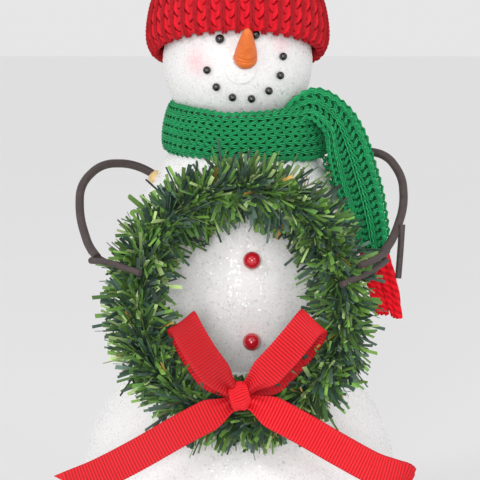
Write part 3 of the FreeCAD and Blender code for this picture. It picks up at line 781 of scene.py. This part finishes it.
CUFF_FACE = ((27.0, 5.4), (27.1, 4.1), (27.8, 3.5), (28.9, 4.6), (29.8, 7.2), (30.0, 11.0),
             (29.5, 15.5), (28.7, 19.2), (28.0, 20.6), (27.5, 20.3))
CROWN_FACE = ((26.2, 7.4), (26.4, 10.0), (26.5, 19.5), (25.8, 25.2), (23.2, 30.8), (18.6, 36.0),
              (12.4, 40.0), (6.5, 41.8), (2.4, 42.3))
CUFF_TOP_SHARE = 0.24      # of the crown's line, hidden by the cuff
GATHER_SHARE = 0.985       # of the crown's line, where the gathered top starts
CROWN_TOP = 42.4 * MM
HAT_RADIUS = 27 * MM
SWAG = 2.9 * MM            # how far the yarn hangs between two ridges of rib
SWAG_LIFT = 0.34 * MM
WANDER = 0.16 * MM         # unevenness of hand knitting
ROW_PITCH = 2.65 * MM
LINK_PITCH = 1.35 * MM


def garland(profile, share, ridges, drop, lift, side, phase, samples, tightness=1.0):
    """Strand that rises to a peak on each ridge of rib and hangs in a swag to the next."""
    points = []
    for step in range(ridges * samples):
        turn = step / samples
        hang = abs(math.sin(math.pi * turn)) ** 0.7
        rise = drop * (0.5 - hang) * tightness
        across = turn + 0.035 * math.sin(math.tau * turn) + phase
        wander = noise.noise(Vector((turn * 0.9, share * 40, side * 3))) * WANDER
        spread = side * (0.5 + 0.5 * hang)
        out = lift * (1 - 1.9 * hang ** 0.8) + wander
        points.append(on_hat(profile, across / ridges * math.tau,
                             share + (rise + spread + wander) / profile.length, out))
    return points


def chains(profile, ridges, low, high, samples=6):
    """Pairs of strands that open and close into a column of links on each ridge of rib."""
    strands = []
    count = int((high - low) * profile.length / LINK_PITCH)
    for ridge in range(ridges):
        start = noise.noise(Vector((ridge * 1.7, 0, 0))) * 0.4
        for side in (-1, 1):
            points = []
            for step in range(count * samples + 1):
                link = step / samples
                share = low + (high - low) * link / count
                radius = profile.at(share).x
                narrow = min(radius / HAT_RADIUS, 1.0)
                open_by = abs(math.sin(math.pi * (link + start)))
                across = side * (0.16 + 0.40 * open_by) * MM * narrow
                around = ridge / ridges * math.tau + across / max(radius, MM)
                points.append(on_hat(profile, around, share, (0.42 + 0.30 * open_by * narrow) * MM))
            strands.append(points)
    return strands


class SNOWMAN_OT_hat(bpy.types.Operator):
    """Knits the hat's crown and its folded cuff in wide rib"""
    bl_idname = "snowman.hat"
    bl_label = "Hat"

    def execute(self, context):
        red = yarn_finish("red_knit", colours().hat, twists=640, dark=0.75)
        # the backing's finish is painted shade: the hat's red darkened to 0.3 to 0.65 of itself
        behind = shaded_backing_finish("red_knit_behind", colours().hat, dark=0.3, pale=0.65)
        self.cuff(red, behind)
        self.crown(red, behind)
        return {"FINISHED"}

    def cuff(self, red, behind):
        fold = outline(((27.1, 20.6), (27.5, 13.0), (27.2, 5.6), (27.6, 4.6), (28.3, 5.8),
                            (29.0, 11.0), (28.5, 15.8), (27.7, 20.0)))
        bm = skin(160, 60, lambda across, along: on_hat(fold, across * math.tau, along, 0), ring=True,
                  thickness=0.35 * MM)
        base = piece("hat_cuff_cloth", bm, behind, "hat")
        face = outline(CUFF_FACE)
        ridges = sizes().hat_ridges
        strands = []
        rows = 8
        for row in range(rows):
            share = (row + 0.45) / rows
            phase = 0.06 * (-1) ** row
            for side in (-0.72, 0.0, 0.72):
                strands.append(garland(face, share, ridges, SWAG, SWAG_LIFT, side * MM, phase, 10))
        radius = sizes().hat_strand
        knit = knitted("hat_cuff_knit", strands, radius, red, "hat", ring=True)
        links = chains(face, ridges, 0.06, 0.97)
        wales = knitted("hat_cuff_ridges", links, radius, red, "hat")
        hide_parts("hat_cuff")

    def crown(self, red, behind):
        inner = outline(((25.9, 7.2), (26.1, 10.0), (26.1, 19.5), (25.3, 24.9), (22.6, 30.4),
                             (18.0, 35.5), (12.0, 39.4), (6.3, 41.2), (2.3, 41.6)))
        bm = skin(120, 60, lambda across, along: on_hat(inner, across * math.tau, along, 0), ring=True,
                  thickness=0.5 * MM)
        base = piece("hat_crown_cloth", bm, behind, "hat")
        face = outline(CROWN_FACE)
        ridges = sizes().hat_ridges
        strands = []
        share = CUFF_TOP_SHARE
        while share < GATHER_SHARE:
            narrow = min(face.at(share).x / HAT_RADIUS, 1.0)
            pull = 0.35 + 0.65 * narrow
            for side in (-0.45, 0.45):
                strands.append(garland(face, share, ridges, SWAG * pull, SWAG_LIFT, side * MM, 0.0, 8,
                                       pull))
            share += ROW_PITCH * pull / face.length
        radius = sizes().hat_strand
        knit = knitted("hat_crown_knit", strands, radius, red, "hat", ring=True)
        gather = self.gathered_top(red)
        links = chains(face, ridges, CUFF_TOP_SHARE, 0.93, samples=4)
        wales = knitted("hat_crown_ridges", links, radius, red, "hat")
        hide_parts("hat_crown")

    def gathered_top(self, red):
        """Loops of yarn drawn together in the middle of the crown."""
        chance = random.Random(SEED + 5)
        strands = []
        loops = 14
        steps = 14
        for number in range(loops):
            turn = math.tau * number / loops + chance.uniform(-0.1, 0.1)
            far = chance.uniform(3.0, 3.9) * MM
            loop = []
            for step in range(steps + 1):
                part = step / steps
                reach = far * math.sin(math.pi * part) ** 0.8
                height = CROWN_TOP + 0.7 * MM * math.cos(math.pi * (part - 0.5))
                loop.append(HAT_PLACE @ turned(reach, turn + 0.5 * (part - 0.5), height))
            strands.append(loop)
        return knitted("hat_gather", strands, sizes().hat_strand * 1.1, red, "hat")


# ---------------------------------------------------------------- scarf

def rib_course(surface, along, stitches, knit, purl, loop, depth, lift, side, bow, first=0.0,
               samples=8):
    """Strand of one course: knit stitches, with a sunk purl stitch after each one unless purl is 0.

    surface(across, along, out) places it; side is how far the strand lies to the left of the yarn's
    middle, and bow how far the loops swell beyond their necks.
    """
    flat = []
    for step in range(-samples // 2, stitches * samples - samples // 2 + 1):
        turn = step / samples
        number = math.floor(turn + 0.5)
        phase = math.tau * (turn - number)
        if purl:
            width = knit if number % 2 == 0 else purl
            middle = first + (number // 2) * (knit + purl) + (number % 2) * (knit + purl) / 2
            facing_side = min(max(1.7 * math.cos(math.pi * turn), -1), 1)
        else:
            width = knit
            middle = first + number * knit
            facing_side = 1.0
        across = middle + width * (phase + bow * math.sin(2 * phase)) / math.tau
        out = facing_side * (lift - depth * math.cos(2 * phase))
        flat.append((across, along + loop * math.cos(phase), out))
    points = []
    for number, (across, up, out) in enumerate(flat):
        before = flat[max(number - 1, 0)]
        after = flat[min(number + 1, len(flat) - 1)]
        run = math.hypot(after[0] - before[0], after[1] - before[1]) or 1.0
        points.append(surface(across - side * (after[1] - before[1]) / run,
                              up + side * (after[0] - before[0]) / run, out))
    return points


WRAP_FACE = ((23.9, -6.2), (25.0, -7.4), (26.2, -7.0), (26.7, -5.0), (26.5, -1.5), (25.9, 2.0),
             (24.9, 5.4), (23.8, 7.1), (22.4, 7.3), (21.4, 6.4))
WRAP_LINING = ((21.6, 4.0), (22.8, 0.0), (23.2, -4.0))
KNOT_TURN = math.radians(-28)     # from +X to where the wrap swells towards the knot
KNOT_SWELL = 2.6 * MM
WRAP_RADIUS = 26 * MM
WRAP_COURSES = 56
END_PITCH = 2.55 * MM             # from one course of a hanging end to the next
PLIES = 4
PLY_RADIUS = 0.78 * MM            # the fringe's thick yarn
PLY_TWIST = 5


class SNOWMAN_OT_scarf(bpy.types.Operator):
    """Knits the scarf's wrap, its two hanging ends and the yarn fringe"""
    bl_idname = "snowman.scarf"
    bl_label = "Scarf"

    def execute(self, context):
        green = yarn_finish("green_knit", colours().scarf, twists=26, dark=0.3)
        # the backing's finish is painted shade: the scarf's green darkened to 0.10 to 0.35 of itself
        behind = shaded_backing_finish("green_knit_behind", colours().scarf, dark=0.10, pale=0.35)
        self.wrap(green, behind)
        front = self.front_end(green, behind)
        rear = self.rear_end(green, behind)
        red = yarn_finish("fringe_yarn", colours().fringe, twists=9, dark=0.5)
        front_fringe = self.fringe("scarf_front_fringe", red, 5, mm(40.8, -13.6, 124.6),
                                   mm(49.0, -12.6, 124.6), mm(46.2, -13.6, 104.0), mm(54.0, -12.6, 103.2))
        rear_fringe = self.fringe("scarf_rear_fringe", red, 4, mm(39.2, -9.0, 130.0),
                                  mm(47.0, -9.0, 130.0), mm(43.4, -9.4, 111.0), mm(51.0, -9.4, 110.4))
        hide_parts("front_fringe")
        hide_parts("back_fringe")
        return {"FINISHED"}

    def on_wrap(self, face, across, around, out):
        """Point on the wrap's face or section, a distance across it and an angle round the neck."""
        spot = raised(face, across / face.length, out)
        near = math.cos((around - KNOT_TURN) / 2) ** 24
        ripple = 0.25 * MM * math.sin(around * 5 + 1) + 0.12 * MM * math.sin(around * 11)
        height = spot.z * (1 + 0.1 * near) + ripple
        return SCARF_PLACE @ turned(spot.x + KNOT_SWELL * near, around, height)

    def wrap(self, green, behind):
        face = outline(WRAP_FACE)
        section = outline([(radius, height * 0.94) for radius, height in WRAP_FACE + WRAP_LINING],
                          closed=True)

        def place(across, along):
            return self.on_wrap(section, across * section.length, along * math.tau, -0.55 * MM)

        bm = skin(48, 150, place, ring=True)
        base = piece("scarf_wrap_cloth", bm, behind, "figure")

        def surface(across, along, out):
            return self.on_wrap(face, across, -along / WRAP_RADIUS, out)

        strands = []
        for course in range(WRAP_COURSES):
            along = course / WRAP_COURSES * math.tau * WRAP_RADIUS
            for side in (-0.28, 0.28):
                strands.append(rib_course(surface, along, stitches=7, knit=2.85 * MM, purl=0,
                                          loop=2.0 * MM, depth=0.62 * MM, lift=0.25 * MM,
                                          side=side * MM, first=1.3 * MM, bow=1.75))
        knit = knitted("scarf_wrap_knit", strands, sizes().scarf_strand, green, "figure")
        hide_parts("scarf_wrap")

    def strip(self, name, left, right, green, behind, thick, puff, ribs, knit, purl):
        """Flattened knitted tube that hangs between two edge lines."""
        length = (left.length + right.length) / 2
        round_length = ribs * (knit + purl)

        def surface(across, along, out):
            share = along / length
            west = left.at(share)
            east = right.at(share)
            side = east - west
            run = ((left.at(share + 0.03) + right.at(share + 0.03)) / 2
                   - (left.at(share - 0.03) + right.at(share - 0.03)) / 2)
            front = side.cross(run).normalized()
            around = across / round_length * math.tau
            wide = math.cos(around)
            high = math.sin(around)
            narrow = side.length / 2
            swell = math.copysign(abs(high) ** 0.7, high)
            point = (west + east) / 2 - side.normalized() * wide * (narrow + out)
            return point + front * (swell * (thick / 2 + out) + puff * (1 - wide ** 2))

        def place(across, along):
            return surface(across * round_length, along * length, -0.6 * MM)

        bm = skin(56, 90, place, ring=True)
        close_ends(bm)
        cloth = piece(name + "_cloth", bm, behind, "figure")
        strands = []
        for course in range(int(length / END_PITCH) + 1):
            for side in (-0.33, 0.33):
                strands.append(rib_course(surface, course * END_PITCH, ribs * 2, knit, purl,
                                          loop=1.75 * MM, depth=0.55 * MM, lift=0.5 * MM,
                                          side=side * MM, bow=1.6))
        stitches = knitted(name + "_knit", strands, sizes().scarf_strand, green, "figure")
        return cloth, stitches

    def front_end(self, green, behind):
        """The end that comes up behind the wrap, arches over it and hangs down in front of the arm."""
        left = Route(mm(17.5, -15.5, 166.0), mm(19.8, -19.0, 169.2), mm(23.2, -21.0, 170.0),
                     mm(26.5, -22.0, 167.4), mm(28.9, -21.5, 164.1), mm(29.6, -20.5, 158.8),
                     mm(30.7, -19.5, 153.5), mm(32.4, -18.0, 147.8), mm(34.8, -16.8, 140.7),
                     mm(37.2, -15.5, 133.6), mm(39.8, -14.8, 124.6))
        right = Route(mm(14.6, -14.0, 171.0), mm(18.9, -14.6, 175.4), mm(23.8, -14.4, 178.0),
                      mm(28.6, -14.0, 177.2), mm(33.2, -13.5, 174.2), mm(37.4, -13.0, 169.8),
                      mm(41.0, -12.8, 163.4), mm(43.6, -12.6, 155.7), mm(46.7, -12.6, 145.0),
                      mm(48.4, -12.6, 135.0), mm(49.3, -12.6, 124.6))
        cloth, stitches = self.strip("scarf_front_end", left, right, green, behind, thick=3.4 * MM,
                                     puff=1.2 * MM, ribs=8, knit=1.5 * MM, purl=2.6 * MM)
        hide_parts("scarf_knot", "scarf_front_tail")
        return cloth, stitches

    def rear_end(self, green, behind):
        """The shorter end that hangs behind the front one."""
        left = Route(mm(28.2, -10.5, 156.0), mm(30.0, -10.0, 148.6), mm(33.0, -9.4, 140.0),
                     mm(38.6, -9.0, 130.0))
        right = Route(mm(40.0, -9.0, 156.0), mm(41.6, -9.0, 148.0), mm(44.0, -9.0, 139.0),
                      mm(47.6, -9.0, 130.0))
        cloth, stitches = self.strip("scarf_rear_end", left, right, green, behind, thick=2.2 * MM,
                                     puff=0.0, ribs=6, knit=1.5 * MM, purl=2.4 * MM)
        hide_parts("scarf_back_tail")
        return cloth, stitches

    def fringe(self, name, red, count, top_left, top_right, low_left, low_right):
        """Thick plied yarn ends that hang from an edge."""
        chance = random.Random(len(name))
        strands = []
        steps = 29
        for number in range(count):
            share = (number + 0.5) / count
            top = top_left.lerp(top_right, share)
            uneven = mm(chance.uniform(-0.7, 0.7), chance.uniform(-0.8, 0.8), chance.uniform(-1.2, 1.6))
            low = low_left.lerp(low_right, share) + uneven
            bend = mm(chance.uniform(-0.6, 0.9), chance.uniform(-0.6, 0.6), 0)
            start = chance.uniform(0, math.tau)
            for ply in range(PLIES):
                spin = start + math.tau * ply / PLIES
                points = []
                for step in range(steps + 1):
                    part = step / steps
                    middle = top.lerp(low, part) + bend * math.sin(math.pi * part)
                    reach = (0.68 + 0.3 * part ** 3) * MM
                    points.append(middle + turned(reach, spin + part * PLY_TWIST, 0))
                strands.append(points)
        return knitted(name, strands, PLY_RADIUS, red, "figure")


# ---------------------------------------------------------------- wreath

# each green and how often it comes up
NEEDLE_TINTS = (((0.10, 0.21, 0.055), 32), ((0.16, 0.31, 0.065), 26), ((0.04, 0.08, 0.058), 36),
                ((0.09, 0.14, 0.115), 18), ((0.34, 0.46, 0.19), 9), ((0.42, 0.25, 0.06), 2))
WREATH_HALF_WIDTH = 32.6 * MM
WREATH_HALF_HEIGHT = 36.2 * MM
HINGE = mm(0, -46.6, 125.5)       # what the wreath rocks on, between the two hands
SWING = math.radians(5)
BODY_GAP = 0.5 * MM               # from a needle to the body
NEEDLE_THICKNESS = 0.14 * MM
NEEDLE_STRAY = 0.3                # spread of a needle's way in any direction
SHORTER = 0.82                    # of a needle's length, at each trial to fit it in
TRIALS = 5


def drawn(chance, middle, spread, low, high):
    """A random number about a middle value, kept between two bounds."""
    return min(max(chance.gauss(middle, spread), low), high)


class SNOWMAN_OT_wreath(bpy.types.Operator):
    """Finishes the wreath's wire and packs it with cut needles"""
    bl_idname = "snowman.wreath"
    bl_label = "Wreath"

    def execute(self, context):
        repaint(metal_finish("wreath_wire", (0.05, 0.09, 0.045), rough=0.35), "wreath_wire")
        film = needle_finish()
        for part, seed in (("rear", SEED + 11), ("front", SEED + 12)):
            self.needles("needles_" + part, film, seed, part == "rear")
        return {"FINISHED"}

    def blade(self):
        """Cut strip of film, one long: a little curled, narrower towards its root, square at its end."""
        bm = bmesh.new()
        bmesh.ops.create_cube(bm, size=1)
        bmesh.ops.transform(bm, matrix=Matrix.Translation((0, 0, 0.5)), verts=bm.verts)
        lengthwise = [e for e in bm.edges if abs(e.verts[0].co.z - e.verts[1].co.z) > 0.5]
        bmesh.ops.subdivide_edges(bm, edges=lengthwise, cuts=1)
        for vertex in bm.verts:
            vertex.co.y += 0.9 * (vertex.co.z ** 2)
            vertex.co.x *= 1.0 - 0.25 * (1 - vertex.co.z) ** 2
        return mesh_from(bm, "blade", smooth=False)

    def clear(self, point):
        """Whether a point stays off the body and scarf at both ends of the wreath's swing."""
        swung = HINGE + Matrix.Rotation(SWING, 3, Vector((-1, 0, 0))) @ (point - HINGE)
        return max(depth_in_body(point), depth_in_body(swung)) < -BODY_GAP

    def needles(self, name, film, seed, rear):
        chance = random.Random(seed)
        tints = [tint for tint, weight in NEEDLE_TINTS]
        weights = [weight for tint, weight in NEEDLE_TINTS]
        places = []
        shades = []
        wide = WREATH_RIGHT * WREATH_HALF_WIDTH
        tall = WREATH_UP * WREATH_HALF_HEIGHT
        for number in range(sizes().needles // 2):
            turn = chance.uniform(0, math.tau)
            core = WREATH_CENTRE + wide * math.sin(turn) + tall * math.cos(turn)
            onward = (wide * math.cos(turn) - tall * math.sin(turn)).normalized()
            outward = onward.cross(WREATH_OUT).normalized()
            spin = chance.uniform(0, math.pi) + (math.pi if rear else 0.0)
            ray = outward * math.cos(spin) + WREATH_OUT * math.sin(spin)
            slant = math.radians(drawn(chance, 32, 36, -60, 85))
            way = ray * math.cos(slant) + onward * math.sin(slant)
            way = (way + Vector([chance.gauss(0, NEEDLE_STRAY) for axis in "xyz"])).normalized()
            tuft = 1 + 0.3 * noise.noise(Vector((math.sin(turn) * 5, math.cos(turn) * 5, spin * 2)))
            length = sizes().needle_length * tuft * drawn(chance, 1.0, 0.14, 0.6, 1.3)
            width = MM * drawn(chance, 1.04, 0.24, 0.7, 1.7)
            start = core + ray * chance.uniform(0.2, 1.6) * MM
            for trial in range(TRIALS):
                tip = start + way * length
                middle = start + way * length * 0.6
                if self.clear(tip) and self.clear(middle):
                    break
                length *= SHORTER
            else:
                continue
            stand = facing(start, way, chance.uniform(0, math.tau), (width, NEEDLE_THICKNESS, length))
            tint = chance.choices(tints, weights)[0]
            light = chance.triangular(0.25, 2.1, 0.8)
            places.append(stand)
            shades.append(shade(tint, light))
        bm = scattered(self.blade(), places, shades)
        needles = piece(name, bm, film, "wreath", smooth=False)
        if rear:
            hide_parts("wreath_needles")


# ---------------------------------------------------------------- bow

RIB_HEIGHT = 0.19 * MM
SELVEDGE = 0.09            # share of the width at each woven edge where the ribs fade out
GATHER_START = 1.5         # millimetres of ribbon inside the knot
GATHER_RUN = 9.0           # millimetres over which the gathers open out
GATHER_WAVES = 1.5
GATHER_DEPTH = 0.95 * MM
GATHER_LOSS = 0.52         # share of the width that the gathers take up
CUP = 0.25 * MM            # how far the middle of the ribbon bulges
RIBBON_THICKNESS = 0.32 * MM
ROWS_A_RIB = 6
KNOT_LENGTH = 26 * MM
# each ribbon's CAD node, then its name, the way its width points, the slant of its cut end and the
# points it runs through, the last two in millimetres
RIBBONS = {
    "bow_left_loop": ("ribbon_left_loop", (-0.80, 0.06, -0.60), 0.0, (
        (-1.5, -68.2, 86.6), (-6.2, -71.0, 91.6), (-11.0, -71.6, 98.0), (-15.0, -69.6, 104.2),
        (-17.3, -66.0, 107.9), (-18.2, -61.8, 107.6), (-16.9, -58.6, 103.4), (-13.2, -59.6, 96.4),
        (-7.8, -62.8, 90.0), (-1.8, -66.0, 85.6))),
    "bow_right_loop": ("ribbon_right_loop", (0.70, 0.06, -0.71), 0.0, (
        (1.5, -68.2, 87.2), (7.2, -71.0, 92.6), (13.0, -71.6, 98.8), (18.3, -69.8, 104.8),
        (21.6, -66.0, 108.2), (23.0, -61.8, 107.6), (21.4, -58.8, 102.8), (16.4, -59.8, 96.2),
        (9.2, -62.8, 89.6), (1.8, -66.0, 85.4))),
    "bow_left_tail": ("ribbon_left_tail", (-0.44, 0.28, 0.85), 8.0, (
        (-1.0, -67.8, 84.4), (-7.0, -69.0, 81.2), (-18.0, -68.2, 75.2), (-32.0, -66.4, 66.8),
        (-44.0, -64.6, 60.2), (-52.6, -63.6, 56.4))),
    "bow_right_tail": ("ribbon_right_tail", (0.48, 0.28, 0.83), -5.0, (
        (1.0, -67.8, 84.6), (7.0, -69.0, 82.2), (18.0, -68.4, 76.2), (31.0, -67.0, 68.4),
        (41.0, -65.4, 62.6), (47.5, -64.0, 60.0), (51.6, -61.6, 58.2), (53.4, -58.6, 55.4))),
}


class SNOWMAN_OT_bow(bpy.types.Operator):
    """Ties the ribbed ribbon bow: two loops, two tails and the knot"""
    bl_idname = "snowman.bow"
    bl_label = "Ribbon bow"

    def execute(self, context):
        finish = ribbon_finish()
        for node, (name, across, slant, points) in RIBBONS.items():
            self.ribbon(node, name, finish, Vector(across), slant, points, both="loop" in node)
        self.knot(finish)
        return {"FINISHED"}

    def ribs(self, distance, share):
        """Height of the ribs that cross the ribbon, which leave its two woven edges plain."""
        plain = ease((0.5 - abs(share - 0.5)) / SELVEDGE)
        return RIB_HEIGHT * math.sin(math.tau * distance / sizes().rib_pitch) * plain

    def ribbon(self, node, name, finish, across, slant, points, both=False):
        """A loop, held by the knot at both ends, or a tail with its end cut on a slant."""
        spine = Route(*(mm(*point) for point in points))
        width = sizes().ribbon_width
        across = across.normalized()
        slant = slant * MM

        def gathered(distance):
            """1 in the knot, 0 where the ribbon lies at its full width."""
            return 1 - ease((distance / MM - GATHER_START) / GATHER_RUN)

        def place(side, along):
            length = spine.length + (side - 0.5) * slant
            distance = along * length
            share = distance / spine.length
            middle = spine.at(share)
            if share > 1:
                middle = middle + (spine.at(1) - spine.at(0.98)).normalized() * (distance - spine.length)
            run = (spine.at(share + 0.012) - spine.at(share - 0.012)).normalized()
            level = (across - run * across.dot(run)).normalized()
            front = level.cross(run).normalized()
            if front.y > 0 and not both:
                front = -front
            gather = gathered(distance)
            if both:
                gather = max(gather, gathered(spine.length - distance))
            pleat = gather * GATHER_DEPTH * math.cos(math.tau * GATHER_WAVES * side + 0.6)
            sideways = (side - 0.5) * width * (1 - GATHER_LOSS * gather)
            cup = CUP * math.cos(math.pi * (side - 0.5))
            return middle + level * sideways + front * (pleat + cup + self.ribs(distance, side))

        def chart(side, along):
            return side, along * (spine.length + (side - 0.5) * slant) / sizes().rib_pitch

        rows = int(spine.length / sizes().rib_pitch * ROWS_A_RIB)
        bm = skin(16, rows, place, thickness=RIBBON_THICKNESS, chart=chart)
        bow_part = piece(name, bm, finish, "wreath")
        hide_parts(node)

    def knot(self, finish):
        """Short turn of ribbon wrapped over the middle of the bow."""
        tilt = Matrix.Rotation(math.radians(-24), 4, "Y")

        def place(side, along):
            around = along * math.tau
            sideways = (side - 0.5) * 2
            pinch = 1 - 0.22 * sideways ** 2
            crease = 0.28 * MM * math.cos(math.tau * GATHER_WAVES * side + 0.8)
            reach = crease + self.ribs(along * KNOT_LENGTH, side)
            local = Vector((sideways * 3.1 * MM + 0.5 * MM * math.sin(around),
                            (3.5 * MM * pinch + reach) * math.cos(around),
                            (3.9 * MM * pinch + reach) * math.sin(around)))
            return BOW_CENTRE + mm(0, -1.6, 0) + tilt @ local

        def chart(side, along):
            return side, along * KNOT_LENGTH / sizes().rib_pitch

        bm = skin(20, 200, place, thickness=0.3 * MM, chart=chart)
        bmesh.ops.remove_doubles(bm, verts=bm.verts, dist=1e-6)
        knot = piece("ribbon_knot", bm, finish, "wreath")
        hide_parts("bow_knot")


# ---------------------------------------------------------------- stage

LIT_POINT = mm(0, 0, 125)
SEEN_POINT = mm(0, 0, 127)
CAMERA_PLACE = mm(0, -696.2, 200.2)
FOCAL_LENGTH = 154.4       # millimetres, for a sensor 36 mm wide


class SNOWMAN_OT_stage(bpy.types.Operator):
    """Sets the pale floor, the soft light and the camera"""
    bl_idname = "snowman.stage"
    bl_label = "Stage"

    def execute(self, context):
        scene = context.scene
        bm = bmesh.new()
        bmesh.ops.create_grid(bm, x_segments=8, y_segments=8, size=12)
        floor = bpy.data.objects.new("floor", mesh_from(bm, "floor"))
        floor.data.materials.append(floor_finish())
        scene.collection.objects.link(floor)
        world = bpy.data.worlds.new("pale_room")
        world.use_nodes = True
        world.node_tree.nodes["Background"].inputs["Color"].default_value = (0.84, 0.835, 0.84, 1)
        world.node_tree.nodes["Background"].inputs["Strength"].default_value = 0.95
        scene.world = world
        self.sun(context, "broad_light", (-0.08, -1.0, 0.12), strength=1.12, spread=16)
        self.lamp(context, "left_box", (-0.55, -0.9, 0.75), power=2.2, size=0.15)
        self.lamp(context, "right_box", (0.5, -1.0, 0.6), power=1.2, size=0.12)
        self.camera(context)
        scene.view_settings.view_transform = "Standard"
        return {"FINISHED"}

    def sun(self, context, name, direction, strength, spread):
        light = bpy.data.lights.new(name, "SUN")
        light.energy = strength
        light.angle = math.radians(spread)
        self.stand(context, name, light, (0, 0, 0), Vector(direction))

    def lamp(self, context, name, place, power, size):
        light = bpy.data.lights.new(name, "AREA")
        light.energy = power
        light.size = size
        self.stand(context, name, light, place, Vector(place) - LIT_POINT)

    def stand(self, context, name, data, place, back):
        """Puts a lamp or camera in its place, with its back to a direction."""
        thing = bpy.data.objects.new(name, data)
        thing.location = place
        thing.rotation_euler = back.to_track_quat("Z", "Y").to_euler()
        context.scene.collection.objects.link(thing)
        return thing

    def camera(self, context):
        view = bpy.data.cameras.new("camera")
        view.lens = FOCAL_LENGTH
        view.sensor_width = 36.0
        view.clip_start = 0.01
        eye = CAMERA_PLACE
        context.scene.camera = self.stand(context, "camera", view, eye, eye - SEEN_POINT)


class SNOWMAN_PT_panel(bpy.types.Panel):
    """Lists the snowman's pieces and what may be changed"""
    bl_label = "Snowman"
    bl_idname = "SNOWMAN_PT_panel"
    bl_space_type = "VIEW_3D"
    bl_region_type = "UI"
    bl_category = "Snowman"

    def draw(self, context):
        for group in (context.scene.snowman_colours, context.scene.snowman_sizes):
            for name in group.bl_rna.properties.keys():
                if name not in ("rna_type", "name"):
                    self.layout.prop(group, name)
        for operator in OPERATORS:
            self.layout.operator(operator.bl_idname)


OPERATORS = (SNOWMAN_OT_stage, SNOWMAN_OT_bodies, SNOWMAN_OT_face, SNOWMAN_OT_arms, SNOWMAN_OT_hat,
             SNOWMAN_OT_scarf, SNOWMAN_OT_wreath, SNOWMAN_OT_bow)
CLASSES = (SnowmanColours, SnowmanSizes, *OPERATORS, SNOWMAN_PT_panel)


def register():
    for kind in CLASSES:
        bpy.utils.register_class(kind)
    bpy.types.Scene.snowman_colours = PointerProperty(type=SnowmanColours)
    bpy.types.Scene.snowman_sizes = PointerProperty(type=SnowmanSizes)


def unregister():
    del bpy.types.Scene.snowman_sizes
    del bpy.types.Scene.snowman_colours
    for kind in reversed(CLASSES):
        bpy.utils.unregister_class(kind)


def main():
    register()
    for operator in OPERATORS:
        group, name = operator.bl_idname.split(".")
        getattr(getattr(bpy.ops, group), name)()


if __name__ == "__main__":
    main()
